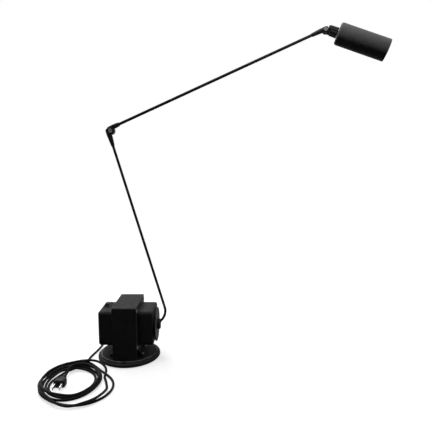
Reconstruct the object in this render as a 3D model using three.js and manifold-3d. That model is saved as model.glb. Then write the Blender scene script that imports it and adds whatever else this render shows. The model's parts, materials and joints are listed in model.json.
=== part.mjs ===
// Desk lamp: a small cylindrical head on two jointed rods, over a transformer block on a round foot.
// Millimetres, +Z up, +Y away from the viewer. The origin is the centre of the foot's underside.
import * as THREE from 'three';
import { mergeVertices } from 'three/addons/utils/BufferGeometryUtils.js';
import Module from 'manifold-3d';

const wasm = await Module();
wasm.setup();

// Driving dimensions

const seat = 0.3;
const overrun = 3;
const weld = 0.0001;

const foot = {
  radius: 66,
  thickness: 6.8,
  topRound: 2.5,
  lowChamfer: 0.9,
  padThickness: 1.5,
  padInset: 4,
  recessRadius: 11,
  recessDepth: 4,
  channelWidth: 6,
  channelDepth: 5.8,
};

const swivel = {
  shankRadius: 4,
  headRadius: 8,
  washerRadius: 9.5,
  washerThickness: 1.2,
  nutRadius: 7.5,
  nutThickness: 5,
  shankPastNut: 1.5,
};

const tray = {
  radius: 60.3,
  floorThickness: 2,
  rimThickness: 1.8,
  rimHeight: 3.6,
};

const core = {
  leg: 33,
  stack: 46,
  windowHeight: 57.2,
  rivetInset: 6,
  rivetRadius: 2,
  rivetHeadRadius: 3.8,
  rivetHeadHeight: 1.8,
};

const band = { width: 50, thickness: 2, outerBend: 2.2 };

const bracket = {
  height: 18.5,
  sheet: 2,
  webInset: 1,
  lowerFlange: 14,
  upperFlange: 10,
  length: 60,
  screwShare: 0.62,
  gussetShare: 0.8,
};

const footScrew = { radius: 2, headRadius: 4, headHeight: 2.2, grip: 1.6 };

const cover = {
  belowWindow: 10.5,
  aboveWindow: 6.3,
  besideWinding: 2.9,
  reach: 57.5,
  wall: 2,
  edgeRound: 5,
  topCorner: 6,
  bottomCorner: 9,
  flange: 1.2,
  flangeCorner: 2,
};

const coilFormer = { wall: 1.4, flange: 1.5, besideLeg: 0.9, corner: 5 };

const mainsSwitch = {
  length: 33,
  width: 14,
  bezelHeight: 1.3,
  bezelCorner: 1.2,
  bodyLength: 28,
  bodyWidth: 10.6,
  bodyDepth: 15,
  wellLength: 25,
  wellWidth: 8.2,
  wellDepth: 9.5,
  rockerGap: 0.4,
  rockerDrop: 4,
  rockerRise: 2.6,
  pivotDepth: 1.6,
  pivotRadius: 1.2,
  pivotPast: 0.8,
  fromEdge: 10.6,
  fromMiddle: 11,
};
const rockerTilt = THREE.MathUtils.degToRad(9);

const tilt = {
  aboveCoverEdge: 35.5,
  frictionRadius: 24,
  frictionThickness: 1.5,
  discRadius: 36,
  discThickness: 2.6,
  discRound: 1,
  hubRadius: 11,
  hubHeight: 6,
  hubRound: 1.6,
  axleRadius: 5,
  axleBore: 3.2,
  innerWasherRadius: 14,
  innerWasherThickness: 1.6,
  nutRadius: 8.6,
  nutThickness: 5,
  axlePastNut: 1.4,
  rodDepth: 4.2,
};

const rod = { lowerRadius: 2.75, upperRadius: 2.95, wall: 0.75, leadRadius: 1.2 };

const lowerArm = { bendRadius: 29, bendInset: 18.5, reach: 388 };
const lowerLean = THREE.MathUtils.degToRad(16.54);

const upperArm = { reach: 477.4 };
const upperRise = THREE.MathUtils.degToRad(24.15);

const elbow = {
  offset: 5.6,
  cheekRadius: 8,
  cheekThickness: 5.6,
  cheekRound: 0.8,
  washerRadius: 6.4,
  washerThickness: 1.2,
  collarLength: 30,
  shortCollarLength: 21,
  collarRadius: 5.8,
  shortCollarRadius: 5,
  collarTipRadius: 3.7,
  shortCollarTipRadius: 4.1,
  domeRise: 1.8,
  boreDepth: 13.2,
};

const wrist = {
  offset: 3.2,
  cheekRadius: 6.2,
  cheekThickness: 4.8,
  cheekRound: 0.8,
  washerRadius: 5.6,
  washerThickness: 1.2,
  collarLength: 28,
  collarRadius: 4.9,
  collarTipRadius: 3.8,
  domeRise: 3.2,
  boreDepth: 8,
};

const pivotPin = { radius: 2, headRadius: 4.1, headHeight: 1.7, slotWidth: 0.9, slotDepth: 0.7, past: 0.8 };
const pivotNut = { radius: 4, thickness: 2.6 };

const neck = {
  reach: 24.5,
  fromPivot: 3.4,
  startSlant: 5,
  tongueHalf: 4.2,
  startRadius: 10,
  endRadius: 10.6,
  startRound: 1.8,
  fluteDepth: 1.1,
  spigotRadius: 4.7,
  spigotLength: 6,
  boreRadius: 2,
  nutRadius: 9,
  nutThickness: 3,
};
const neckFlutes = 12;
const headDrop = THREE.MathUtils.degToRad(21.72);
const headTurn = THREE.MathUtils.degToRad(11.46);

const head = { radius: 22.2, length: 102.7, wall: 1.2, backRound: 4, backThickness: 1.6, lipRound: 1.4, lipReach: 2.6 };

const holder = {
  bracketPlace: 10,
  bracketThickness: 1.5,
  bracketHole: 4,
  radius: 9,
  length: 22.5,
  recessRadius: 5.2,
  recessDepth: 4.4,
  pinHole: 1,
  pinHoleDepth: 8,
  screwRadius: 1.2,
  screwHeadRadius: 2.4,
  screwHeadHeight: 1.6,
  screwGrip: 5,
  screwCircle: 6.6,
};

const bulb = {
  pinchRadius: 4.7,
  pinchLength: 9,
  glassRadius: 5.8,
  glassLength: 34,
  pinRadius: 0.65,
  pinLength: 6.5,
  pinSpread: 3.2,
};

const reflector = { neckRadius: 8.4, place: 36, behindLip: 3.5, wall: 0.9, rimWidth: 1.6 };

const cord = {
  radius: 2.4,
  floorGap: 0.3,
  step: 13.5,
  clearance: 0.75,
  humpShare: 5.5,
  humpLeast: 26,
  straightEnd: 14,
};
const cordAngle = THREE.MathUtils.degToRad(105);

const relief = {
  height: 4.7,
  rootWidth: 5.4,
  rootHeight: 5.2,
  rootLength: 9,
  length: 25,
  baseRadius: 3.9,
  tipRadius: 3,
};

// The cord's free run on the table, after the strain relief, chosen by hand
const leadRoute = [
  [-33.3, 113.2],
  [-47, 120.9],
  [-61.6, 116.2],
  [-70.7, 101],
  [-71.5, 66],
  [-72, 41],
  [-75, 17],
  [-80, -11],
  [-82.5, -34],
];
const leadIntoCoil = [
  [-86, -51],
  [-95, -66],
  [-108, -79],
];

const coilIntoPlug = [
  [-90, -71],
  [-99.3, -79.4],
];

const coil = { centreX: -85, centreY: -129, halfWidth: 57, halfDepth: 69 };
const coilStart = THREE.MathUtils.degToRad(143);
const coilTurns = 5.845;
const coilPointsPerTurn = 20;
// The turns are laid outwards, and the last ones wander back over the heap
const coilReachShares = {
  first: 0.69,
  perTurn: 0.0925,
  turnsOut: 3.84,
  last: 0.86,
  swing: 0.02,
  swingBelow: 0.3,
  turnsPerSwing: 0.73,
};
// Loops that stand out of the heap: where along the turns, how far out, and over how many turns
const coilLobeShares = [
  { at: 3.52, out: 0.48, spread: 0.22 },
  { at: 3.91, out: 0.12, spread: 0.16 },
  { at: 4.47, out: 0.44, spread: 0.2 },
  { at: 4.77, out: 0.24, spread: 0.16 },
];

const plug = {
  x: -104,
  rearY: -113,
  length: 32,
  width: 22,
  height: 15,
  corner: 4,
  rearWidth: 9,
  rearHeight: 8,
  rearCorner: 3,
  grip: 12,
  shoulder: 18,
  bladeWidth: 1.5,
  bladeHeight: 6.3,
  bladeLength: 17,
  bladeDepth: 6,
  bladeSpread: 6.35,
};

// Places that follow from the sizes

const discBottom = foot.padThickness + seat;
const discTop = discBottom + foot.thickness;
const trayBottom = discTop + seat;
const trayFloor = trayBottom + tray.floorThickness;
const coreBottom = trayFloor + seat + bracket.height + seat;
const coreHeight = core.windowHeight + core.leg;
const coreTop = coreBottom + coreHeight;
const windowWidth = core.leg / 2;
const coreHalf = core.leg + windowWidth;
const stackHalf = core.stack / 2;
const bandInner = coreHalf + seat;
const bandOuter = bandInner + band.thickness;
const bandTop = coreTop + seat + band.thickness;
const windowLow = coreBottom + windowWidth;
const windowHigh = windowLow + core.windowHeight;
const windingDepth = windowWidth - coilFormer.besideLeg;
const coverLow = windowLow - cover.belowWindow;
const coverHigh = windowHigh + cover.aboveWindow;
const coverHalf = windowWidth + windingDepth + cover.besideWinding + cover.wall;
const flangeInner = stackHalf + seat;
const flangeOuter = flangeInner + cover.flange;
const tiltHeight = coverLow + tilt.aboveCoverEdge;
const frictionOuter = cover.reach + seat + tilt.frictionThickness;
const tiltDiscInner = frictionOuter + seat;
const tiltDiscOuter = tiltDiscInner + tilt.discThickness;
const hubInner = tiltDiscOuter + seat;
const hubFace = hubInner + tilt.hubHeight;
const bendCentre = new THREE.Vector2(hubFace - lowerArm.bendInset, tiltHeight + lowerArm.bendRadius);

const lowerUp = new THREE.Vector3(-Math.sin(lowerLean), 0, Math.cos(lowerLean));
const lowerInward = new THREE.Vector3(Math.cos(lowerLean), 0, Math.sin(lowerLean));
const upperAlong = new THREE.Vector3(Math.cos(upperRise), 0, Math.sin(upperRise));
const upperInward = new THREE.Vector3(Math.sin(upperRise), 0, -Math.cos(upperRise));
const headAlong = new THREE.Vector3(Math.cos(headDrop), 0, -Math.sin(headDrop));
const headOutward = new THREE.Vector3(Math.sin(headDrop), 0, Math.cos(headDrop));

const bendEnd = new THREE.Vector3(
  bendCentre.x + lowerArm.bendRadius * Math.cos(lowerLean),
  0,
  bendCentre.y + lowerArm.bendRadius * Math.sin(lowerLean),
);
const lowerTop = bendEnd.clone().addScaledVector(lowerUp, lowerArm.reach);
const elbowPlace = lowerTop.clone().addScaledVector(lowerInward, elbow.offset);
const upperStart = elbowPlace.clone().addScaledVector(upperInward, -elbow.offset);
const upperEnd = upperStart.clone().addScaledVector(upperAlong, upperArm.reach);
const wristPlace = upperEnd.clone().addScaledVector(upperInward, wrist.offset);
const headBack = wristPlace.clone()
  .addScaledVector(headOutward, wrist.offset)
  .addScaledVector(headAlong, neck.reach);
const domeReach = (joint, radius) => Math.hypot(joint.offset, joint.domeRise) + radius;

// Finishes

const finish = (color, roughness, metalness) => new THREE.MeshStandardMaterial({ color, roughness, metalness });
const blackPaint = () => finish(0x17171a, 0.45, 0.2);
const blackPlastic = () => finish(0x121214, 0.5, 0);
const blackRubber = () => finish(0x101011, 0.8, 0);
const blackCord = () => finish(0x0e0e0f, 0.55, 0);
const zincSteel = () => finish(0x9a9da0, 0.35, 0.9);
const copper = () => finish(0x8a4b2a, 0.4, 0.8);
const fibre = () => finish(0x5a4632, 0.9, 0);
const aluminium = () => finish(0xd2d4d6, 0.15, 1);
const porcelain = () => finish(0xe6e2d8, 0.5, 0);
const quartz = () => finish(0xf2f4f6, 0.05, 0);

// Helpers that make closed bodies

function signedVolume(positions, index) {
  const [a, b, c] = [new THREE.Vector3(), new THREE.Vector3(), new THREE.Vector3()];
  let total = 0;
  for (let i = 0; i < index.length; i += 3) {
    a.fromBufferAttribute(positions, index[i]);
    b.fromBufferAttribute(positions, index[i + 1]);
    c.fromBufferAttribute(positions, index[i + 2]);
    total += a.dot(b.cross(c));
  }
  return total;
}

// One closed surface: shared corners welded, empty triangles left out, faces pointing out
function closed(geometry) {
  geometry.deleteAttribute('normal');
  geometry.deleteAttribute('uv');
  const merged = mergeVertices(geometry, weld);
  const index = merged.index.array;
  const kept = [];
  for (let i = 0; i < index.length; i += 3) {
    const corners = [index[i], index[i + 1], index[i + 2]];
    if (new Set(corners).size === 3) kept.push(...corners);
  }
  if (signedVolume(merged.attributes.position, kept) < 0) kept.reverse();
  merged.setIndex(kept);
  return merged;
}

function toSolid(geometry) {
  const shape = closed(geometry);
  return new wasm.Manifold(new wasm.Mesh({
    numProp: 3,
    vertProperties: new Float32Array(shape.attributes.position.array),
    triVerts: new Uint32Array(shape.index.array),
  }));
}

function toGeometry(solid) {
  const mesh = solid.getMesh();
  const geometry = new THREE.BufferGeometry();
  geometry.setAttribute('position', new THREE.BufferAttribute(new Float32Array(mesh.vertProperties), 3));
  geometry.setIndex(new THREE.BufferAttribute(new Uint32Array(mesh.triVerts), 1));
  return geometry;
}

// The first geometry with the added ones joined to it and the cut ones taken away
function carve(base, added, cuts) {
  let solid = toSolid(base);
  for (const geometry of added) solid = solid.add(toSolid(geometry));
  for (const geometry of cuts) solid = solid.subtract(toSolid(geometry));
  return toGeometry(solid);
}

function piece(name, geometry, material, parent) {
  const mesh = new THREE.Mesh(geometry, material);
  mesh.name = name;
  geometry.computeVertexNormals();
  parent.add(mesh);
  return mesh;
}

const arcPoints = (x, y, radius, from, to, steps) => Array.from({ length: steps + 1 }, (_, i) => {
  const angle = from + (to - from) * (i / steps);
  return [x + radius * Math.cos(angle), y + radius * Math.sin(angle)];
});

// A profile of [radius, height] pairs turned round +Z. A profile that is off the axis is closed here.
function turned(profile, segments) {
  const points = profile.map(([r, h]) => new THREE.Vector2(r, h));
  if (profile[0][0] > 0) points.push(points[0].clone());
  return closed(new THREE.LatheGeometry(points, segments)).rotateX(Math.PI / 2);
}

const alongX = (geometry) => geometry.rotateY(Math.PI / 2);
const alongY = (geometry) => geometry.rotateX(-Math.PI / 2);

function ring(radius, hole, low, high, segments) {
  return turned([[hole, low], [radius, low], [radius, high], [hole, high]], segments);
}

// A ring or disc whose upper edge, and lower edge if asked, is rounded
function roundedRing({ radius, hole, low, high, topRound, lowRound = 0, segments }) {
  const quarter = Math.PI / 2;
  const steps = 2;
  const lowEdge = lowRound > 0
    ? arcPoints(radius - lowRound, low + lowRound, lowRound, -quarter, 0, steps)
    : [[radius, low]];
  const topEdge = arcPoints(radius - topRound, high - topRound, topRound, 0, quarter, steps);
  return turned([[hole, low], ...lowEdge, ...topEdge, [hole, high]], segments);
}

const box = (sizeX, sizeY, sizeZ, x, y, z) => new THREE.BoxGeometry(sizeX, sizeY, sizeZ).translate(x, y, z);

function hexagon(radius, hole, low, high) {
  const shape = new THREE.Shape(arcPoints(0, 0, radius, 0, 2 * Math.PI, 6).slice(0, 6)
    .map(([x, y]) => new THREE.Vector2(x, y)));
  const bore = arcPoints(0, 0, hole, 0, 2 * Math.PI, 12).slice(0, 12);
  shape.holes.push(new THREE.Path(bore.map(([x, y]) => new THREE.Vector2(x, y))));
  const body = new THREE.ExtrudeGeometry(shape, { depth: high - low, bevelEnabled: false });
  return closed(body.translate(0, 0, low));
}

// A flat outline drawn in the YZ plane and given a thickness along X
function plateAlongX(outline, fromX, toX) {
  const shape = new THREE.Shape(outline.map(([y, z]) => new THREE.Vector2(y, z)));
  const body = new THREE.ExtrudeGeometry(shape, { depth: toX - fromX, bevelEnabled: false });
  const stand = new THREE.Matrix4().set(0, 0, 1, fromX, 1, 0, 0, 0, 0, 1, 0, 0, 0, 0, 0, 1);
  return closed(body.applyMatrix4(stand));
}

// An outline drawn in the XZ plane and given a length along Y
function barAlongY(outline, fromY, toY) {
  const shape = new THREE.Shape(outline.map(([x, z]) => new THREE.Vector2(x, z)));
  const body = new THREE.ExtrudeGeometry(shape, { depth: toY - fromY, bevelEnabled: false });
  const stand = new THREE.Matrix4().set(1, 0, 0, 0, 0, 0, -1, toY, 0, 1, 0, 0, 0, 0, 0, 1);
  return closed(body.applyMatrix4(stand));
}

const rectangle = (low, high, halfWidth) => [
  [-halfWidth, low], [halfWidth, low], [halfWidth, high], [-halfWidth, high],
];

// A rectangle with rounded corners, as [across, up] pairs, counter-clockwise from the right side
function roundedRectangle(halfWidth, low, high, topCorner, lowCorner, steps) {
  const quarter = Math.PI / 2;
  return [
    ...arcPoints(halfWidth - lowCorner, low + lowCorner, lowCorner, -quarter, 0, steps),
    ...arcPoints(halfWidth - topCorner, high - topCorner, topCorner, 0, quarter, steps),
    ...arcPoints(topCorner - halfWidth, high - topCorner, topCorner, quarter, 2 * quarter, steps),
    ...arcPoints(lowCorner - halfWidth, low + lowCorner, lowCorner, 2 * quarter, 3 * quarter, steps),
  ];
}

// A skin over rings of points, each with the same count, closed at both ends by a fan
function skin(rings) {
  const count = rings[0].length;
  const positions = rings.flat().flatMap((p) => [p.x, p.y, p.z]);
  const index = [];
  for (let r = 0; r + 1 < rings.length; r += 1) {
    for (let i = 0; i < count; i += 1) {
      const a = r * count + i;
      const b = r * count + ((i + 1) % count);
      index.push(a, b, a + count, b, b + count, a + count);
    }
  }
  for (const [r, turn] of [[0, 1], [rings.length - 1, 0]]) {
    const middle = rings[r].reduce((sum, p) => sum.add(p), new THREE.Vector3()).divideScalar(count);
    const centre = positions.length / 3;
    positions.push(middle.x, middle.y, middle.z);
    for (let i = 0; i < count; i += 1) {
      const pair = [r * count + i, r * count + ((i + 1) % count)];
      index.push(centre, pair[turn], pair[1 - turn]);
    }
  }
  const geometry = new THREE.BufferGeometry();
  geometry.setAttribute('position', new THREE.Float32BufferAttribute(positions, 3));
  geometry.setIndex(index);
  return closed(geometry);
}

// A bent rod's centreline: an arc in the XZ plane and then a straight run. The steps go to the bend.
class BentLine extends THREE.Curve {
  constructor(centre, radius, fromAngle, toAngle, reach, bendSteps) {
    super();
    Object.assign(this, { centre, radius, fromAngle, toAngle, reach, bendSteps });
  }

  getPoint(t) {
    const bendPart = this.bendSteps / (this.bendSteps + 1);
    const turn = Math.min(t / bendPart, 1);
    const angle = this.fromAngle + (this.toAngle - this.fromAngle) * turn;
    const past = Math.max(t - bendPart, 0) / (1 - bendPart) * this.reach;
    return new THREE.Vector3(
      this.centre.x + this.radius * Math.sin(angle) + past * Math.cos(angle),
      0,
      this.centre.y - this.radius * Math.cos(angle) + past * Math.sin(angle),
    );
  }

  getPointAt(u) {
    return this.getPoint(u);
  }

  getTangentAt(u) {
    return this.getTangent(u);
  }
}

function circleShape(radius, hole, sides) {
  const points = (r) => arcPoints(0, 0, r, 0, 2 * Math.PI, sides).slice(0, sides)
    .map(([x, y]) => new THREE.Vector2(x, y));
  const shape = new THREE.Shape(points(radius));
  if (hole > 0) shape.holes.push(new THREE.Path(points(hole)));
  return shape;
}

const sweep = (shape, path, steps) => closed(new THREE.ExtrudeGeometry(shape, {
  extrudePath: path,
  steps,
  bevelEnabled: false,
}));

const lamp = new THREE.Group();
lamp.name = 'desk_lamp';

// Foot

function makeFoot() {
  const pad = roundedRing({
    radius: foot.radius - foot.padInset,
    hole: 0,
    low: 0,
    high: foot.padThickness,
    topRound: foot.padThickness / 3,
    segments: 48,
  });
  piece('base_pad', pad, blackRubber(), lamp);

  const recessTop = discBottom + foot.recessDepth;
  const boltHole = swivel.shankRadius + seat;
  const quarter = Math.PI / 2;
  const disc = turned([
    [boltHole, recessTop],
    [foot.recessRadius, recessTop],
    [foot.recessRadius, discBottom],
    [foot.radius - foot.lowChamfer, discBottom],
    [foot.radius, discBottom + foot.lowChamfer],
    ...arcPoints(foot.radius - foot.topRound, discTop - foot.topRound, foot.topRound, 0, quarter, 3),
    [boltHole, discTop],
  ], 56);
  const channelLength = foot.radius + overrun - foot.recessRadius / 2;
  const channel = box(
    channelLength,
    foot.channelWidth,
    foot.channelDepth + overrun,
    foot.recessRadius / 2 + channelLength / 2,
    0,
    discBottom + (foot.channelDepth - overrun) / 2,
  ).rotateZ(cordAngle);
  piece('base_disc', carve(disc, [], [channel]), blackPaint(), lamp);

  const washerLow = trayFloor + seat;
  const nutLow = washerLow + swivel.washerThickness + seat;
  const shankTop = nutLow + swivel.nutThickness + swivel.shankPastNut;
  const bolt = turned([
    [0, discBottom],
    [swivel.headRadius, discBottom],
    [swivel.headRadius, recessTop - seat],
    [swivel.shankRadius, recessTop - seat],
    [swivel.shankRadius, shankTop],
    [0, shankTop],
  ], 20);
  piece('swivel_bolt', bolt, zincSteel(), lamp);
  const washer = ring(swivel.washerRadius, boltHole, washerLow, washerLow + swivel.washerThickness, 24);
  piece('swivel_washer', washer, zincSteel(), lamp);
  const nut = hexagon(swivel.nutRadius, boltHole, nutLow, nutLow + swivel.nutThickness);
  piece('swivel_nut', nut, zincSteel(), lamp);
}

// Turntable with the brackets and screws that carry the core

function makeTurntable() {
  const inner = tray.radius - tray.rimThickness;
  const rimTop = trayBottom + tray.rimHeight;
  const rimHalf = tray.rimThickness / 2;
  const plate = turned([
    [swivel.shankRadius + seat, trayBottom],
    [tray.radius, trayBottom],
    ...arcPoints(tray.radius - rimHalf, rimTop - rimHalf, rimHalf, 0, Math.PI, 4),
    [inner, trayFloor],
    [swivel.shankRadius + seat, trayFloor],
  ], 52);
  const screws = screwPlaces();
  const holes = screws.map(([x, y]) => ring(
    footScrew.radius + seat, 0, trayBottom - overrun, trayFloor + overrun, 10,
  ).translate(x, y, 0));
  piece('turntable', carve(plate, [], holes), blackPaint(), lamp);
}

function screwPlaces() {
  const x = stackHalf - bracket.webInset + bracket.lowerFlange * bracket.screwShare;
  const y = bracket.length / 3;
  return [[x, -y], [x, y], [-x, -y], [-x, y]];
}

function makeBrackets() {
  const low = trayFloor + seat;
  const high = low + bracket.height;
  const webOut = stackHalf - bracket.webInset + bracket.sheet;
  const webIn = webOut - bracket.sheet;
  const half = bracket.length / 2;
  const outline = [
    [webIn, low],
    [webIn + bracket.lowerFlange, low],
    [webIn + bracket.lowerFlange, low + bracket.sheet],
    [webOut, low + bracket.sheet],
    [webOut, high],
    [webOut - bracket.upperFlange, high],
    [webOut - bracket.upperFlange, high - bracket.sheet],
    [webIn, high - bracket.sheet],
  ];
  const gussetReach = bracket.lowerFlange * bracket.gussetShare;
  const gusset = [
    [webIn + bracket.sheet / 2, low + bracket.sheet / 2],
    [webIn + gussetReach, low + bracket.sheet / 2],
    [webIn + gussetReach, low + bracket.sheet * 2],
    [webOut, high - bracket.sheet],
    [webIn + bracket.sheet / 2, high - bracket.sheet],
  ];
  const places = screwPlaces();
  for (const [name, side] of [['foot_right', 1], ['foot_left', -1]]) {
    const mirrored = (points) => points.map(([x, z]) => [side * x, z]);
    const holes = places.filter(([x]) => x * side > 0).map(([x, y]) => ring(
      footScrew.radius + seat, 0, low - overrun, low + bracket.sheet + overrun, 10,
    ).translate(x, y, 0));
    const gussets = [-half, half - bracket.sheet]
      .map((y) => barAlongY(mirrored(gusset), y, y + bracket.sheet));
    piece(name, carve(barAlongY(mirrored(outline), -half, half), gussets, holes), blackPaint(), lamp);
  }
  const headLow = low + bracket.sheet + seat;
  const headTop = headLow + footScrew.headHeight;
  places.forEach(([x, y], i) => {
    const screw = turned([
      [0, trayFloor - footScrew.grip],
      [footScrew.radius, trayFloor - footScrew.grip],
      [footScrew.radius, headLow],
      [footScrew.headRadius, headLow],
      [footScrew.headRadius * 0.9, headLow + footScrew.headHeight / 2],
      [footScrew.headRadius / 2, headTop],
      [0, headTop],
    ], 12).translate(x, y, 0);
    piece(`foot_screw_${i + 1}`, screw, zincSteel(), lamp);
  });
}

// Core, winding and the band over them

const rivetPlaces = () => {
  const y = coreHalf - core.rivetInset;
  return [[-y, coreBottom + core.rivetInset], [y, coreBottom + core.rivetInset],
    [-y, coreTop - core.rivetInset], [y, coreTop - core.rivetInset]];
};

const rivetHoles = () => rivetPlaces().map(([y, z]) => alongX(ring(
  core.rivetRadius + seat, 0, -flangeOuter - overrun, flangeOuter + overrun, 10,
)).translate(0, y, z));

function makeCore() {
  const windows = [-1, 1].map((side) => box(
    core.stack + overrun,
    windowWidth,
    core.windowHeight,
    0,
    side * (windowWidth + windowWidth / 2),
    (windowLow + windowHigh) / 2,
  ));
  const plates = plateAlongX(rectangle(coreBottom, coreTop, coreHalf), -stackHalf, stackHalf);
  const stack = carve(plates, [], [...windows, ...rivetHoles()]);
  piece('core_laminations', stack, finish(0x2a2a2c, 0.6, 0.5), lamp);

  const headIn = flangeOuter + seat;
  const headOut = headIn + core.rivetHeadHeight;
  rivetPlaces().forEach(([y, z], i) => {
    const rivet = alongX(turned([
      [0, -headOut],
      [core.rivetHeadRadius * 0.7, -headOut],
      [core.rivetHeadRadius, -headIn],
      [core.rivetRadius, -headIn],
      [core.rivetRadius, headIn],
      [core.rivetHeadRadius, headIn],
      [core.rivetHeadRadius * 0.7, headOut],
      [0, headOut],
    ], 10)).translate(0, y, z);
    piece(`core_rivet_${i + 1}`, rivet, zincSteel(), lamp);
  });

  const innerBend = seat;
  const bandLow = trayFloor + seat;
  const quarter = Math.PI / 2;
  const corner = bandOuter - band.outerBend;
  const innerCorner = bandInner - innerBend;
  const bandIn = bandTop - band.thickness;
  const outline = [
    [bandInner, bandLow],
    [bandOuter, bandLow],
    ...arcPoints(corner, bandTop - band.outerBend, band.outerBend, 0, quarter, 4),
    ...arcPoints(-corner, bandTop - band.outerBend, band.outerBend, quarter, 2 * quarter, 4),
    [-bandOuter, bandLow],
    [-bandInner, bandLow],
    ...arcPoints(-innerCorner, bandIn - innerBend, innerBend, 2 * quarter, quarter, 1),
    ...arcPoints(innerCorner, bandIn - innerBend, innerBend, quarter, 0, 1),
  ];
  piece('core_band', plateAlongX(outline, -band.width / 2, band.width / 2), blackPaint(), lamp);

  makeWinding();
}

function makeWinding() {
  const steps = 3;
  const corner = coilFormer.corner;
  const ringAt = (halfX, halfY, round, z) => roundedRectangle(halfX, -halfY, halfY, round, round, steps)
    .map(([x, y]) => new THREE.Vector3(x, y, z));
  const block = (halfX, halfY, round, low, high) => skin([
    ringAt(halfX, halfY, round, low),
    ringAt(halfX, halfY, round, high),
  ]);
  const legX = stackHalf + seat;
  const legY = windowWidth + seat;
  const low = windowLow + seat;
  const high = windowHigh - seat;
  const outX = stackHalf + windingDepth;
  const outY = windowWidth + windingDepth;
  const tubeX = legX + coilFormer.wall;
  const tubeY = legY + coilFormer.wall;
  const tunnel = box(2 * legX, 2 * legY, core.windowHeight + overrun, 0, 0, (windowLow + windowHigh) / 2);
  const former = carve(
    block(tubeX, tubeY, coilFormer.wall, low, high),
    [
      block(outX, outY, corner, low, low + coilFormer.flange),
      block(outX, outY, corner, high - coilFormer.flange, high),
    ],
    [tunnel],
  );
  piece('bobbin', former, finish(0xd9cfb4, 0.6, 0), lamp);
  const copperIn = block(
    tubeX + seat, tubeY + seat, coilFormer.wall, low - overrun, high + overrun,
  );
  const wound = block(
    outX - coilFormer.flange / 2,
    outY - coilFormer.flange / 2,
    corner,
    low + coilFormer.flange + seat,
    high - coilFormer.flange - seat,
  );
  piece('winding', carve(wound, [], [copperIn]), copper(), lamp);
}

// Side covers with their flanges

function coverBell(side, reach, half, low, high, topCorner, lowCorner, edge) {
  const steps = 3;
  const ringAt = (x, inset) => roundedRectangle(
    half - inset, low + inset, high - inset, topCorner - inset, lowCorner - inset, steps,
  ).map(([y, z]) => new THREE.Vector3(side * x, y, z));
  const edgeRings = arcPoints(reach - edge, 0, edge, 0, Math.PI / 2, steps)
    .map(([, rise], i) => ringAt(reach - edge + edge * Math.sin((i / steps) * Math.PI / 2),
      edge - Math.sqrt(Math.max(edge * edge - rise * rise, 0))));
  return skin([ringAt(flangeInner, 0), ...edgeRings]);
}

function makeCover(name, side, cuts) {
  const bell = coverBell(
    side, cover.reach, coverHalf, coverLow, coverHigh, cover.topCorner, cover.bottomCorner, cover.edgeRound,
  );
  const inner = cover.wall;
  const hollow = coverBell(
    side,
    cover.reach - inner,
    coverHalf - inner,
    coverLow + inner,
    coverHigh - inner,
    cover.topCorner - inner,
    cover.bottomCorner - inner,
    cover.edgeRound - inner,
  );
  const mouth = plateAlongX(
    roundedRectangle(
      coverHalf - inner, coverLow + inner, coverHigh - inner, cover.topCorner - inner,
      cover.bottomCorner - inner, 3,
    ),
    side > 0 ? 0 : -flangeOuter,
    side > 0 ? flangeOuter : 0,
  );
  const flange = plateAlongX(
    roundedRectangle(coreHalf, coreBottom + seat, coreTop - seat, cover.flangeCorner, cover.flangeCorner, 2),
    side > 0 ? flangeInner : -flangeOuter,
    side > 0 ? flangeOuter : -flangeInner,
  );
  piece(name, carve(bell, [flange], [hollow, mouth, ...rivetHoles(), ...cuts]), blackPaint(), lamp);
}

const switchPlace = { x: mainsSwitch.fromEdge - cover.reach, y: mainsSwitch.fromMiddle };

function makeCovers() {
  const axleHole = alongX(ring(
    tilt.axleRadius + seat, 0, cover.reach - cover.wall - overrun, cover.reach + overrun, 20,
  )).translate(0, 0, tiltHeight);
  makeCover('right_cover', 1, [axleHole]);
  const switchCut = box(
    mainsSwitch.bodyWidth + 2 * seat,
    mainsSwitch.bodyLength + 2 * seat,
    cover.wall + overrun,
    switchPlace.x,
    switchPlace.y,
    coverHigh,
  );
  makeCover('left_cover', -1, [switchCut]);
}

// Mains switch in the top of the left cover

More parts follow.
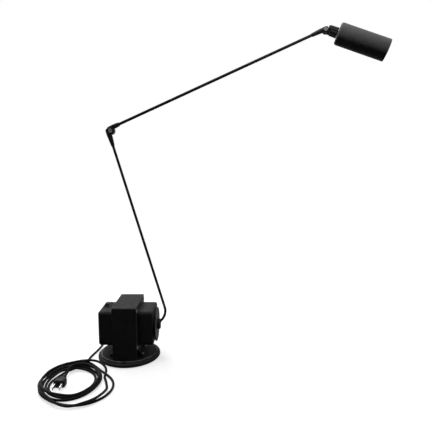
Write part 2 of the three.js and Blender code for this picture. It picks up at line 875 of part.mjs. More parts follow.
function makeSwitch() {
  const place = new THREE.Group();
  place.position.set(switchPlace.x, switchPlace.y, coverHigh);
  lamp.add(place);
  const bezelLow = seat;
  const bezelTop = bezelLow + mainsSwitch.bezelHeight;
  const halfLength = mainsSwitch.length / 2;
  const bezelRing = (z) => roundedRectangle(
    mainsSwitch.width / 2, -halfLength, halfLength, mainsSwitch.bezelCorner, mainsSwitch.bezelCorner, 2,
  ).map(([x, y]) => new THREE.Vector3(x, y, z));
  const body = box(
    mainsSwitch.bodyWidth,
    mainsSwitch.bodyLength,
    mainsSwitch.bodyDepth + bezelLow + bezelTop,
    0,
    0,
    (bezelTop - mainsSwitch.bodyDepth - bezelLow) / 2,
  );
  const well = box(
    mainsSwitch.wellWidth,
    mainsSwitch.wellLength,
    mainsSwitch.wellDepth + overrun,
    0,
    0,
    bezelTop + (overrun - mainsSwitch.wellDepth) / 2,
  );
  const pivotZ = bezelTop - mainsSwitch.pivotDepth;
  const pivotHalf = mainsSwitch.wellWidth / 2 + mainsSwitch.pivotPast;
  const bearing = alongX(ring(
    mainsSwitch.pivotRadius + seat, 0, -pivotHalf - seat, pivotHalf + seat, 12,
  )).translate(0, 0, pivotZ);
  const housing = carve(body, [skin([bezelRing(bezelLow), bezelRing(bezelTop)])], [well, bearing]);
  piece('switch_housing', housing, blackPlastic(), place);

  const radius = mainsSwitch.wellLength / 2 - mainsSwitch.rockerGap;
  const halfWidth = mainsSwitch.wellWidth / 2 - mainsSwitch.rockerGap;
  const rise = mainsSwitch.rockerRise;
  const drop = mainsSwitch.rockerDrop;
  const endRise = rise + radius * Math.tan(rockerTilt);
  const from = Math.asin(-drop / radius);
  const to = Math.asin(endRise / radius);
  const profile = [
    ...arcPoints(0, 0, radius, from, to, 5),
    [0, rise],
    ...arcPoints(0, 0, radius, Math.PI - to, Math.PI - from, 5),
  ];
  const pivot = alongX(ring(mainsSwitch.pivotRadius, 0, -pivotHalf, pivotHalf, 12));
  const rocker = carve(plateAlongX(profile, -halfWidth, halfWidth), [pivot], []);
  const rocking = piece('switch_rocker', rocker, blackPlastic(), place);
  rocking.position.set(0, 0, pivotZ);
  rocking.rotation.x = -rockerTilt;
}

// Tilt pivot on the right cover

function makeTiltPivot() {
  const axis = new THREE.Group();
  axis.position.set(0, 0, tiltHeight);
  lamp.add(axis);
  const hole = tilt.axleRadius + seat;
  const friction = alongX(ring(tilt.frictionRadius, hole, cover.reach + seat, frictionOuter, 32));
  piece('tilt_friction_washer', friction, fibre(), axis);
  const disc = alongX(roundedRing({
    radius: tilt.discRadius,
    hole,
    low: tiltDiscInner,
    high: tiltDiscOuter,
    topRound: tilt.discRound,
    segments: 48,
  }));
  piece('tilt_disc', disc, blackPaint(), axis);

  const wallInner = cover.reach - cover.wall - seat;
  const washerInner = wallInner - tilt.innerWasherThickness;
  const innerWasher = alongX(ring(tilt.innerWasherRadius, hole, washerInner, wallInner, 20));
  piece('tilt_inner_washer', innerWasher, zincSteel(), axis);
  const nutOut = washerInner - seat;
  const nutIn = nutOut - tilt.nutThickness;
  piece('tilt_nut', alongX(hexagon(tilt.nutRadius, hole, nutIn, nutOut)), zincSteel(), axis);
  const axle = alongX(ring(tilt.axleRadius, tilt.axleBore, nutIn - tilt.axlePastNut, tiltDiscOuter, 20));
  piece('tilt_axle', axle, zincSteel(), axis);

  const boss = alongX(roundedRing({
    radius: tilt.hubRadius,
    hole: 0,
    low: hubInner,
    high: hubFace,
    topRound: tilt.hubRound,
    segments: 24,
  }));
  const bendDrop = new THREE.Vector2(bendCentre.x, lowerArm.bendRadius);
  const socketFrom = Math.asin((hubInner - overrun - bendCentre.x) / lowerArm.bendRadius);
  const socketTo = Math.PI / 2;
  const socketLine = new BentLine(bendDrop, lowerArm.bendRadius, socketFrom, socketTo, overrun, 5);
  const socket = sweep(circleShape(rod.lowerRadius + seat, 0, 14), socketLine, 6);
  piece('tilt_hub', carve(boss, [], [socket]), blackPaint(), axis);
}

// Arms

const lowerStartAngle = Math.asin((hubFace - tilt.rodDepth - bendCentre.x) / lowerArm.bendRadius);

function makeLowerArm() {
  const endAngle = Math.PI / 2 + lowerLean;
  const bendSteps = 8;
  const tubeReach = lowerArm.reach - elbow.boreDepth - seat;
  const centreline = new BentLine(
    bendCentre, lowerArm.bendRadius, lowerStartAngle, endAngle, tubeReach, bendSteps,
  );
  const bore = rod.lowerRadius - rod.wall;
  const tube = sweep(circleShape(rod.lowerRadius, bore, 12), centreline, bendSteps + 1);
  piece('lower_arm_tube', tube, blackPaint(), lamp);
  const lead = sweep(circleShape(rod.leadRadius, 0, 6), centreline, bendSteps + 1);
  piece('lower_arm_lead', lead, blackRubber(), lamp);
}

// One half of a knuckle, drawn with its rod running down local -Z beside the pivot. The rod is
// offset along local X by side * offset, and the cheek lies in front (layer -1) or behind (layer 1).
// In the other layer the half is cut back to leave room for the other one to swing.
function knuckleHalf({ joint, side, layer, body, otherReach, rodRadius }) {
  const cheekIn = joint.washerThickness / 2 + seat;
  const cheekOut = cheekIn + joint.cheekThickness;
  const cheek = alongY(roundedRing({
    radius: joint.cheekRadius,
    hole: 0,
    low: cheekIn,
    high: cheekOut,
    topRound: joint.cheekRound,
    segments: 20,
  }));
  const otherDepth = cheekIn + cheekOut + overrun + otherReach;
  const room = alongY(ring(otherReach + seat, 0, -cheekIn, otherDepth - cheekIn, 24));
  const above = box(4 * otherReach, otherDepth, 2 * otherReach, 0, -layer * (otherDepth / 2 - cheekIn), otherReach);
  if (layer < 0) cheek.rotateX(Math.PI);
  else room.rotateX(Math.PI);
  const pinHole = alongY(ring(pivotPin.radius + seat, 0, -cheekOut - overrun, cheekOut + overrun, 12));
  const nutRoom = alongY(ring(
    pivotPin.headRadius + seat, 0, cheekOut, cheekOut + overrun + otherReach, 16,
  ));
  const cuts = [pinHole];
  if (layer > 0) cuts.push(nutRoom);
  if (rodRadius > 0) {
    cuts.push(ring(
      rodRadius + seat, 0, -joint.collarLength - overrun, -joint.boreDepth, 12,
    ).translate(side * joint.offset, 0, 0));
  }
  return carve(carve(body.translate(side * joint.offset, 0, 0), [], [room, above]), [cheek], cuts);
}

// A round collar that ends in a dome above the pivot and tapers to its tip
function domedCollar(topRadius, tipRadius, domeRise, length, waistShare) {
  return turned([
    [0, -length],
    [tipRadius, -length],
    [topRadius, -length * waistShare],
    ...arcPoints(0, domeRise, topRadius, 0, Math.PI / 2, 3).slice(0, 3),
    [0, domeRise + topRadius],
  ], 16);
}

function makePivot(prefix, joint, layer, parent) {
  const half = joint.washerThickness / 2;
  const outer = half + seat + joint.cheekThickness;
  const washer = alongY(ring(joint.washerRadius, pivotPin.radius + seat, -half, half, 16));
  piece(`${prefix}_washer`, washer, fibre(), parent);
  const headIn = outer + seat;
  const headOut = headIn + pivotPin.headHeight;
  const end = headIn + pivotNut.thickness + pivotPin.past;
  const pin = alongY(turned([
    [0, -headOut],
    [pivotPin.headRadius * 0.85, -headOut],
    [pivotPin.headRadius, -headOut + pivotPin.headHeight / 3],
    [pivotPin.headRadius, -headIn],
    [pivotPin.radius, -headIn],
    [pivotPin.radius, end],
    [0, end],
  ], 12));
  const slot = box(
    2 * pivotPin.headRadius + overrun,
    2 * pivotPin.slotDepth,
    pivotPin.slotWidth,
    0,
    -headOut,
    0,
  );
  const pinPiece = piece(`${prefix}_pin`, carve(pin, [], [slot]), zincSteel(), parent);
  const nut = alongY(hexagon(pivotNut.radius, pivotPin.radius + seat, headIn, headIn + pivotNut.thickness));
  const nutPiece = piece(`${prefix}_nut`, nut, zincSteel(), parent);
  for (const part of [pinPiece, nutPiece]) if (layer > 0) part.rotation.z = Math.PI;
}

function frameAt(place, turn, parent = lamp, origin = new THREE.Vector3()) {
  const group = new THREE.Group();
  group.position.copy(place).sub(origin);
  group.rotation.y = turn;
  parent.add(group);
  return group;
}

// What the upper rod carries is turned round that rod, so that the head faces a little forwards
const headSide = new THREE.Group();
headSide.position.copy(upperEnd);
headSide.quaternion.setFromAxisAngle(upperAlong, -headTurn);
lamp.add(headSide);

function makeElbow() {
  const lowerFrame = frameAt(elbowPlace, -lowerLean);
  const lowerHalf = knuckleHalf({
    joint: elbow,
    side: -1,
    layer: -1,
    body: domedCollar(elbow.collarRadius, elbow.collarTipRadius, elbow.domeRise, elbow.collarLength, 0.2),
    otherReach: domeReach(elbow, elbow.shortCollarRadius),
    rodRadius: rod.lowerRadius,
  });
  piece('elbow_lower', lowerHalf, blackPlastic(), lowerFrame);
  makePivot('elbow', elbow, -1, lowerFrame);

  const upperFrame = frameAt(elbowPlace, -Math.PI / 2 - upperRise);
  const upperHalf = knuckleHalf({
    joint: elbow,
    side: 1,
    layer: 1,
    body: domedCollar(
      elbow.shortCollarRadius, elbow.shortCollarTipRadius, elbow.domeRise, elbow.shortCollarLength, 0.6,
    ),
    otherReach: domeReach(elbow, elbow.collarRadius),
    rodRadius: rod.upperRadius,
  });
  piece('elbow_upper', upperHalf, blackPlastic(), upperFrame);
}

function makeUpperArm() {
  const frame = frameAt(upperStart, Math.PI / 2 - upperRise);
  const low = elbow.boreDepth + seat;
  const high = upperArm.reach - wrist.boreDepth - seat;
  const tube = ring(rod.upperRadius, rod.upperRadius - rod.wall, low, high, 12);
  piece('upper_arm_tube', tube, blackPaint(), frame);
  const lead = turned([[0, low], [rod.leadRadius, low], [rod.leadRadius, high], [0, high]], 6);
  piece('upper_arm_lead', lead, blackRubber(), frame);
}

function makeWrist() {
  const frame = frameAt(wristPlace, Math.PI / 2 - upperRise, headSide, upperEnd);
  const half = knuckleHalf({
    joint: wrist,
    side: -1,
    layer: -1,
    body: domedCollar(wrist.collarRadius, wrist.collarTipRadius, wrist.domeRise, wrist.collarLength, 0.3),
    otherReach: wrist.cheekRadius,
    rodRadius: rod.upperRadius,
  });
  piece('wrist_collar', half, blackPlastic(), frame);
  makePivot('wrist', wrist, -1, frame);
}

// Ribbed neck: fluted rings that widen from the pivot to the head's back plate

function makeNeck() {
  const frame = frameAt(wristPlace, -Math.PI / 2 + headDrop, headSide, upperEnd);
  const end = neck.reach - seat;
  const pointsPerFlute = 4;
  const count = neckFlutes * pointsPerFlute;
  const ringAt = (place, inset, slant) => {
    const share = (place - neck.fromPivot) / (end - neck.fromPivot);
    const radius = neck.startRadius + (neck.endRadius - neck.startRadius) * share - inset;
    const depth = inset > 0 ? 0 : neck.fluteDepth;
    return Array.from({ length: count }, (_unused, i) => {
      const angle = (i / count) * 2 * Math.PI;
      const r = radius - depth * (1 - Math.cos(neckFlutes * angle)) / 2;
      const along = place + slant * (1 - Math.cos(angle)) / 2;
      return new THREE.Vector3(r * Math.cos(angle), r * Math.sin(angle), -along);
    });
  };
  const grip = skin([
    ringAt(neck.fromPivot, neck.startRound, neck.startSlant),
    ringAt(neck.fromPivot + neck.startRound, 0, neck.startSlant),
    ringAt((neck.fromPivot + end) / 2, 0, neck.startSlant / 2),
    ringAt(end, 0, 0),
  ]);
  const spigot = ring(
    neck.spigotRadius, 0, -end - neck.spigotLength, -end + overrun, 14,
  ).translate(wrist.offset, 0, 0);
  const half = knuckleHalf({
    joint: wrist,
    side: 1,
    layer: 1,
    body: grip,
    otherReach: domeReach(wrist, wrist.collarRadius),
    rodRadius: 0,
  });
  const cheekIn = wrist.washerThickness / 2 + seat;
  const tongueReach = neck.fromPivot + neck.startSlant;
  const tongue = box(
    2 * neck.tongueHalf,
    wrist.cheekThickness,
    tongueReach - pivotPin.headRadius / 2,
    0,
    cheekIn + wrist.cheekThickness / 2,
    -(tongueReach + pivotPin.headRadius / 2) / 2,
  );
  const pinHole = alongY(ring(pivotPin.radius + seat, 0, 0, cheekIn + wrist.cheekThickness + overrun, 12));
  piece('head_neck', carve(half, [spigot, tongue], [pinHole]), blackPlastic(), frame);
}

// Head

function makeHead() {
  const frame = frameAt(headBack, headDrop, headSide, upperEnd);
  const quarter = Math.PI / 2;
  const hole = neck.spigotRadius + seat;
  const inner = head.radius - head.wall;
  const innerRound = head.backRound - head.wall;
  const mouth = head.radius - head.lipReach;
  const lipInner = head.length - head.wall;
  const shell = alongX(turned([
    [hole, 0],
    ...arcPoints(head.radius - head.backRound, head.backRound, head.backRound, -quarter, 0, 3),
    ...arcPoints(head.radius - head.lipRound, head.length - head.lipRound, head.lipRound, 0, quarter, 3),
    [mouth, head.length],
    [mouth, lipInner],
    [inner, lipInner - head.lipReach + head.wall],
    ...arcPoints(inner - innerRound, head.backThickness + innerRound, innerRound, 0, -quarter, 1),
    [hole, head.backThickness],
  ], 44));
  piece('head_shell', shell, blackPaint(), frame);

  const nutLow = head.backThickness + seat;
  piece('neck_nut', alongX(hexagon(neck.nutRadius, hole, nutLow, nutLow + neck.nutThickness)), zincSteel(), frame);

  makeHolder(frame, inner - seat);
  makeReflector(frame, inner - seat);
}

function makeHolder(frame, bracketRadius) {
  const front = holder.bracketPlace + holder.bracketThickness;
  const screwSpots = [-1, 1].map((side) => side * holder.screwCircle);
  const drill = (radius, low, high, y) => alongX(ring(radius, 0, low, high, 8)).translate(0, y, 0);
  const plate = alongX(ring(bracketRadius, holder.bracketHole, holder.bracketPlace, front, 32));
  const plateHoles = screwSpots.map((y) => drill(
    holder.screwRadius + seat, holder.bracketPlace - overrun, front + overrun, y,
  ));
  piece('holder_bracket', carve(plate, [], plateHoles), zincSteel(), frame);

  const low = front + seat;
  const high = low + holder.length;
  const block = alongX(roundedRing({
    radius: holder.radius, hole: 0, low, high, topRound: holder.pinHole, segments: 20,
  }));
  const recessLow = high - holder.recessDepth;
  const holes = [
    alongX(ring(holder.recessRadius, 0, recessLow, high + overrun, 16)),
    ...screwSpots.map((y) => drill(holder.screwRadius + seat, low - overrun, low + holder.screwGrip + seat, y)),
    ...[-1, 1].map((side) => alongX(ring(
      holder.pinHole, 0, recessLow - holder.pinHoleDepth, recessLow + seat, 8,
    )).translate(0, 0, side * bulb.pinSpread)),
  ];
  piece('lamp_holder', carve(block, [], holes), porcelain(), frame);

  screwSpots.forEach((y, i) => {
    const headHigh = holder.bracketPlace - seat;
    const screw = alongX(turned([
      [0, headHigh - holder.screwHeadHeight],
      [holder.screwHeadRadius * 0.8, headHigh - holder.screwHeadHeight],
      [holder.screwHeadRadius, headHigh],
      [holder.screwRadius, headHigh],
      [holder.screwRadius, low + holder.screwGrip],
      [0, low + holder.screwGrip],
    ], 8)).translate(0, y, 0);
    piece(`holder_screw_${i + 1}`, screw, zincSteel(), frame);
  });

  const bulbLow = recessLow + seat;
  const glassLow = bulbLow + bulb.pinchLength;
  const glassHigh = glassLow + bulb.glassLength;
  const capsule = alongX(turned([
    [0, bulbLow],
    [bulb.pinchRadius, bulbLow],
    [bulb.pinchRadius, glassLow - bulb.pinchRadius / 2],
    [bulb.glassRadius, glassLow],
    ...arcPoints(0, glassHigh - bulb.glassRadius, bulb.glassRadius, 0, Math.PI / 2, 4).slice(0, 4),
    [0, glassHigh],
  ], 16));
  const pins = [-1, 1].map((side) => alongX(ring(
    bulb.pinRadius, 0, bulbLow - bulb.pinLength, bulbLow + seat, 6,
  )).translate(0, 0, side * bulb.pinSpread));
  piece('bulb', carve(capsule, pins, []), quartz(), frame);
}

// A deep dish whose wall follows a parabola from its neck to its rim
function makeReflector(frame, rimRadius) {
  const steps = 6;
  const bowlRadius = rimRadius - reflector.rimWidth;
  const rim = head.length - head.lipReach - reflector.behindLip;
  const wallPoint = (share, thicken) => [
    Math.sqrt(reflector.neckRadius ** 2 + (bowlRadius ** 2 - reflector.neckRadius ** 2) * share) + thicken,
    reflector.place + (rim - reflector.place) * share,
  ];
  const shares = Array.from({ length: steps + 1 }, (_, i) => (i / steps) ** 2);
  const inside = shares.map((share) => wallPoint(share, 0));
  const outside = shares.slice(0, steps).map((share) => wallPoint(share, reflector.wall)).reverse();
  const dish = alongX(turned([
    ...inside,
    [rimRadius, rim],
    [rimRadius, rim - reflector.wall],
    ...outside,
  ], 32));
  piece('reflector', dish, aluminium(), frame);
}

// Mains cord: strain relief, free run, coil and plug

const cordFloor = cord.radius + cord.floorGap;
const outward = new THREE.Vector2(Math.cos(cordAngle), Math.sin(cordAngle));
const reliefRoot = foot.radius - relief.rootLength;
const reliefTip = foot.radius + seat + relief.length;
const plugHeight = plug.height / 2 + cord.floorGap;

function makeRelief() {
  const frame = new THREE.Group();
  frame.position.set(0, 0, relief.height);
  frame.rotation.z = cordAngle;
  lamp.add(frame);
  const ribs = 4;
  const start = foot.radius + seat;
  const ribLength = relief.length / (2 * ribs);
  const profile = [[0, start]];
  for (let i = 0; i < ribs; i += 1) {
    const share = i / ribs;
    const radius = relief.baseRadius + (relief.tipRadius - relief.baseRadius) * share;
    const low = start + 2 * i * ribLength;
    profile.push([radius, low], [radius, low + ribLength]);
    profile.push([relief.tipRadius - seat, low + ribLength], [relief.tipRadius - seat, low + 2 * ribLength]);
  }
  profile.push([0, reliefTip]);
  const sleeve = alongX(turned(profile, 14));
  const rootLength = relief.rootLength + seat + overrun;
  const root = box(
    rootLength, relief.rootWidth, relief.rootHeight, reliefRoot + rootLength / 2, 0, 0,
  );
  piece('cord_relief', carve(sleeve, [root], []), blackRubber(), frame);
}

// How far the turns reach out at a place along the coil, as a share of its half sizes
function coilReach(turn) {
  const shares = coilReachShares;
  const spiral = shares.first + shares.perTurn * Math.min(turn, shares.turnsOut);
  const back = Math.max(turn - shares.turnsOut, 0) / (coilTurns - shares.turnsOut);
  const ripple = shares.swing * Math.sin(2 * Math.PI * turn / shares.turnsPerSwing);
  const swell = spiral + (shares.last - spiral) * back + ripple * (back > 0 ? 1 : shares.swingBelow);
  return coilLobeShares.reduce((reach, { at, out, spread }) => {
    const u = Math.min(Math.abs(turn - at) / spread, 1);
    return reach + out * (1 - u * u) ** 2;
  }, swell);
}

function coilRoute() {
  const count = Math.round(coilTurns * coilPointsPerTurn);
  return Array.from({ length: count + 1 }, (_, i) => {
    const turn = coilTurns * (i / count);
    const angle = coilStart + 2 * Math.PI * turn;
    const ellipse = 1 / Math.hypot(Math.cos(angle) / coil.halfWidth, Math.sin(angle) / coil.halfDepth);
    const radius = ellipse * coilReach(turn);
    return [coil.centreX + radius * Math.cos(angle), coil.centreY + radius * Math.sin(angle)];
  });
}

// The whole cord on the table, from the strain relief to the plug, in even steps
function cordLine() {
  const start = reliefTip + seat;
  const straight = start + cord.straightEnd;
  const plugEnd = plug.rearY + seat;
  const points = [
    [outward.x * start, outward.y * start],
    [outward.x * straight, outward.y * straight],
    ...leadRoute,
    ...leadIntoCoil,
    ...coilRoute(),
    ...coilIntoPlug,
    [plug.x, plugEnd + cord.straightEnd],
    [plug.x, plugEnd],
  ].map(([x, y]) => new THREE.Vector3(x, y, 0));
  const curve = new THREE.CatmullRomCurve3(points, false, 'centripetal');
  curve.arcLengthDivisions = points.length * 20;
  const total = curve.getLength();
  return curve.getSpacedPoints(Math.round(total / cord.step));
}

// Nearest distance in plan from p to the run a to b, and the share along that run
function planDistance(p, a, b) {
  const [dx, dy] = [b.x - a.x, b.y - a.y];
  const share = Math.min(Math.max(((p.x - a.x) * dx + (p.y - a.y) * dy) / (dx * dx + dy * dy), 0), 1);
  return [Math.hypot(a.x + dx * share - p.x, a.y + dy * share - p.y), share];
}

// The height that each point needs above the table to lie over what was laid before it
function liftsOver(line, lifts) {
  const apart = 2 * cord.radius + cord.clearance;
  const samples = 3;
  const needs = line.map(() => 0);
  for (let i = 4; i + 1 < line.length; i += 1) {
    for (let k = 0; k <= samples; k += 1) {
      const p = line[i].clone().lerp(line[i + 1], k / samples);
      for (let j = 0; j < i - 3; j += 1) {
        const [distance, share] = planDistance(p, line[j], line[j + 1]);
        if (distance < apart) {
          const below = lifts[j] + (lifts[j + 1] - lifts[j]) * share;
          const need = below + Math.sqrt(apart * apart - distance * distance);
          needs[i] = Math.max(needs[i], need);
          needs[i + 1] = Math.max(needs[i + 1], need);
        }
      }
    }
  }
  return needs;
}

// Smooth humps that stand over all the needed heights
function humpsOver(line, needs) {
  return line.map((_, k) => needs.reduce((height, need, i) => {
    if (need === 0) return height;
    const reach = Math.max(cord.humpShare * need, cord.humpLeast);
    const u = Math.min(Math.abs(i - k) * cord.step / reach, 1);
    return Math.max(height, need * (1 - u * u) ** 2);
  }, 0));
}

function laidCord() {
  const line = cordLine();
  const last = line.length - 1;
  const passes = 12;
  let lifts = line.map(() => 0);
  for (let pass = 0; pass < passes; pass += 1) {
    const needs = liftsOver(line, lifts);
    needs[0] = relief.height - cordFloor;
    needs[1] = needs[0];
    needs[last] = plugHeight - cordFloor;
    needs[last - 1] = needs[last];
    const humps = humpsOver(line, needs);
    lifts = humps.map((h, i) => {
      const before = humps[Math.max(i - 1, 0)];
      const after = humps[Math.min(i + 1, last)];
      return Math.max(h, (before + 2 * h + after) / 4);
    });
  }
  for (const i of [0, 1]) lifts[i] = relief.height - cordFloor;
  for (const i of [last - 1, last]) lifts[i] = plugHeight - cordFloor;
  return line.map((p, i) => new THREE.Vector3(p.x, p.y, cordFloor + lifts[i]));
}

// The least air between two runs of the cord that aren't neighbours along it
function leastGap(line) {
  const samples = 4;
  let least = Infinity;
  const dense = [];
  for (let i = 0; i + 1 < line.length; i += 1) {
    for (let k = 0; k < samples; k += 1) dense.push(line[i].clone().lerp(line[i + 1], k / samples));
  }
  const skip = samples * 3;
  for (let i = 0; i < dense.length; i += 1) {
    for (let j = 0; j < i - skip; j += 1) least = Math.min(least, dense[i].distanceTo(dense[j]));
  }
  return least - 2 * cord.radius;
}

// The tightest bend along a line, as a radius
function leastBend(line) {
  return line.slice(1, -1).reduce((least, p, i) => {
    const [a, b] = [line[i], line[i + 2]];
    const area = p.clone().sub(a).cross(b.clone().sub(a)).length();
    return Math.min(least, a.distanceTo(p) * p.distanceTo(b) * a.distanceTo(b) / Math.max(2 * area, weld));
  }, Infinity);
}

function tubeRings(line, sides) {
  return line.map((p, i) => {
    const before = line[Math.max(i - 1, 0)];
    const after = line[Math.min(i + 1, line.length - 1)];
    const along = after.clone().sub(before).normalize();
    const across = new THREE.Vector3(-along.y, along.x, 0).normalize();
    const up = new THREE.Vector3().crossVectors(along, across);
    return Array.from({ length: sides }, (_, k) => {
      const angle = (k / sides) * 2 * Math.PI;
      return p.clone()
        .addScaledVector(across, cord.radius * Math.cos(angle))
        .addScaledVector(up, cord.radius * Math.sin(angle));
    });
  });
}

function makeCord() {
  const line = laidCord();
  const split = line.findIndex((p) => p.y < leadRoute[leadRoute.length - 1][1]);
  const meeting = line[split - 1].clone().lerp(line[split + 1], 0.5);
  line[split] = meeting;
  const lead = line.slice(0, split + 1);
  const direction = line[split + 1].clone().sub(meeting).normalize();
  const wound = [meeting.clone().addScaledVector(direction, seat), ...line.slice(split + 1)];
  const leadLine = new THREE.CatmullRomCurve3(lead, false, 'centripetal');
  const leadTube = sweep(circleShape(cord.radius, 0, 8), leadLine, Math.round(lead.length * 1.5));
  piece('cord_lead', leadTube, blackCord(), lamp);
  piece('cord_coil', skin(tubeRings(wound, 6)), blackCord(), lamp);
  const length = line.slice(1).reduce((sum, p, i) => sum + p.distanceTo(line[i]), 0);
  console.log('cord length', length.toFixed(0), 'lead points', lead.length, 'coil points', wound.length);
  console.log('cord least gap', leastGap(line).toFixed(2));
  console.log('cord least bend radius', leastBend(line).toFixed(1));
  console.log('cord highest', Math.max(...line.map((p) => p.z)).toFixed(1));
}

function makePlug() {
  const frame = new THREE.Group();
  frame.position.set(plug.x, plug.rearY, plugHeight);
  lamp.add(frame);
  const ringAt = (back, width, height, corner) => roundedRectangle(
    width / 2, -height / 2, height / 2, corner, corner, 3,
  ).map(([x, z]) => new THREE.Vector3(x, -back, z));
  const body = skin([
    ringAt(0, plug.rearWidth, plug.rearHeight, plug.rearCorner),
    ringAt(plug.grip, plug.rearWidth * 1.3, plug.rearHeight * 1.2, plug.rearCorner),
    ringAt(plug.shoulder, plug.width, plug.height, plug.corner),
    ringAt(plug.length, plug.width, plug.height, plug.corner),
  ]);
  const slotY = -plug.length + plug.bladeDepth / 2;
  const slots = [-1, 1].map((side) => box(
    plug.bladeWidth + 2 * seat,
    plug.bladeDepth + overrun,
    plug.bladeHeight + 2 * seat,
    side * plug.bladeSpread,
    slotY - overrun / 2,
    0,
  ));
  piece('plug_body', carve(body, [], slots), blackPlastic(), frame);
  [-1, 1].forEach((side, i) => {
    const length = plug.bladeLength + plug.bladeDepth - seat;
    const middle = -plug.length + plug.bladeDepth - seat - length / 2;
    const blade = box(plug.bladeWidth, length, plug.bladeHeight, side * plug.bladeSpread, middle, 0);
    piece(`plug_blade_${i + 1}`, closed(blade), zincSteel(), frame);
  });
}

makeFoot();
makeTurntable();
makeBrackets();
makeCore();
makeCovers();
makeSwitch();
makeTiltPivot();
makeLowerArm();
makeElbow();
makeUpperArm();
makeWrist();
makeNeck();
makeHead();
makeRelief();
makeCord();
makePlug();

export default lamp;
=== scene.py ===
import json
import math

import bmesh
import bpy
import numpy
from mathutils import Matrix, Vector


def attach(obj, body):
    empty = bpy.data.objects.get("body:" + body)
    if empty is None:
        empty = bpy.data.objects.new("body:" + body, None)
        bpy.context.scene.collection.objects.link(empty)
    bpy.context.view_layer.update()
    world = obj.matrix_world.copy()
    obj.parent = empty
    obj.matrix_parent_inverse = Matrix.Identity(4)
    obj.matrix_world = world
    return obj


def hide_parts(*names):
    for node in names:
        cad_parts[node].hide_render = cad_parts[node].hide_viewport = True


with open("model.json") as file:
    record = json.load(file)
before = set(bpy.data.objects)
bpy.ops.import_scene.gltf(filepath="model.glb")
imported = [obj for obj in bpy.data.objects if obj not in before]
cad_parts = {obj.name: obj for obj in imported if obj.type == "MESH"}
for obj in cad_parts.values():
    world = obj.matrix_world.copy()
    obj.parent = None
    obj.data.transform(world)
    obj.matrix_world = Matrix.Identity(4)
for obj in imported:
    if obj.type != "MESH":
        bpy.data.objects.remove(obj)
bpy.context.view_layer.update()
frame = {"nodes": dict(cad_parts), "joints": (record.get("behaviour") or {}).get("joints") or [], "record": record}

scene = bpy.context.scene
nodes = frame["nodes"]
joints = {joint["name"]: joint for joint in frame["joints"]}
mm = 0.001
fullTurn = 2 * math.pi
print("frame loaded:", len(nodes), "nodes")


# the camera stands where the photograph was taken from
cameraSetup = {
    "place": (0.1883, -0.9389, 0.4192),
    "lookDown": 6.86,   # degrees below level
    "lens": 37.5,
    "sensor": 36,
    "farthest": 100,
}


def placeCamera(setup):
    data = bpy.data.cameras.new("photoCamera")
    data.lens = setup["lens"]
    data.sensor_width = setup["sensor"]
    data.clip_end = setup["farthest"]
    camera = bpy.data.objects.new("photoCamera", data)
    camera.location = setup["place"]
    camera.rotation_euler = (math.radians(90 - setup["lookDown"]), 0, 0)
    scene.collection.objects.link(camera)
    scene.camera = camera


placeCamera(cameraSetup)
print("camera placed")


# finishes: each has a slow mottle, a fine grain and its own roughness
surface = {
    "noiseLow": 0.3, "noiseHigh": 0.7,   # a noise texture's values mostly lie between these
    "mottleDetail": 4, "grainDetail": 2,
    "edgeSamples": 4,
}
# paint at corners made lighter, partly by wear and partly as a painted highlight where the edges catch the light:
# how closely the rounded normal follows the face's own, and in what patches
edgeWearAndHighlight = {"flat": 0.995, "sharp": 0.9, "patchLow": 0.35, "patchHigh": 0.65, "least": 0.15}
# a painted highlight in a ring, where the tray's rim catches the light: the share of its width at full strength,
# and its patches
ringHighlight = {"fullShare": 0.5, "patchLow": 0.3, "patchHigh": 0.6, "least": 0.35}
# grooves between sheets or wires
grooves = {"distortion": 0.4, "detailScale": 0.3, "low": 0.1, "high": 0.5}
waveRadians = 20   # the wave texture runs through this much for each unit of its scale

# what a look may set for its whole surface, and the socket that takes it
wholeSurface = {
    "metallic": "Metallic",
    "specular": "Specular IOR Level",
    "coat": "Coat Weight",
    "coatRoughness": "Coat Roughness",
    "transmission": "Transmission Weight",
    "ior": "IOR",
}


def addNode(tree, kind, **settings):
    node = tree.nodes.new("ShaderNode" + kind)
    for name, value in settings.items():
        setattr(node, name, value)
    return node


def startMaterial(name, look):
    material = bpy.data.materials.new(name)
    material.use_nodes = True
    tree = material.node_tree
    shader = tree.nodes["Principled BSDF"]
    for word, socket in wholeSurface.items():
        if word in look:
            shader.inputs[socket].default_value = look[word]
    return material, tree, shader


def noiseAt(tree, size, detail=surface["grainDetail"], stretch=(1, 1, 1)):
    place = addNode(tree, "TexCoord")
    mapping = addNode(tree, "Mapping")
    mapping.inputs["Scale"].default_value = stretch
    noise = addNode(tree, "TexNoise")
    noise.inputs["Scale"].default_value = 1 / size
    noise.inputs["Detail"].default_value = detail
    tree.links.new(place.outputs["Object"], mapping.inputs["Vector"])
    tree.links.new(mapping.outputs["Vector"], noise.inputs["Vector"])
    return noise.outputs["Fac"]


def linesAt(tree, period, direction):
    place = addNode(tree, "TexCoord")
    wave = addNode(tree, "TexWave", bands_direction=direction)
    wave.inputs["Scale"].default_value = fullTurn / (waveRadians * period)
    wave.inputs["Distortion"].default_value = grooves["distortion"]
    wave.inputs["Detail Scale"].default_value = grooves["detailScale"]
    tree.links.new(place.outputs["Object"], wave.inputs["Vector"])
    return wave.outputs["Fac"]


def remap(tree, value, fromLow, fromHigh, toLow=0, toHigh=1):
    spread = addNode(tree, "MapRange")
    ends = {"From Min": fromLow, "From Max": fromHigh, "To Min": toLow, "To Max": toHigh}
    for name, end in ends.items():
        spread.inputs[name].default_value = end
    tree.links.new(value, spread.inputs["Value"])
    return spread.outputs["Result"]


def combine(tree, operation, first, second):
    both = addNode(tree, "Math", operation=operation)
    tree.links.new(first, both.inputs[0])
    tree.links.new(second, both.inputs[1])
    return both.outputs["Value"]


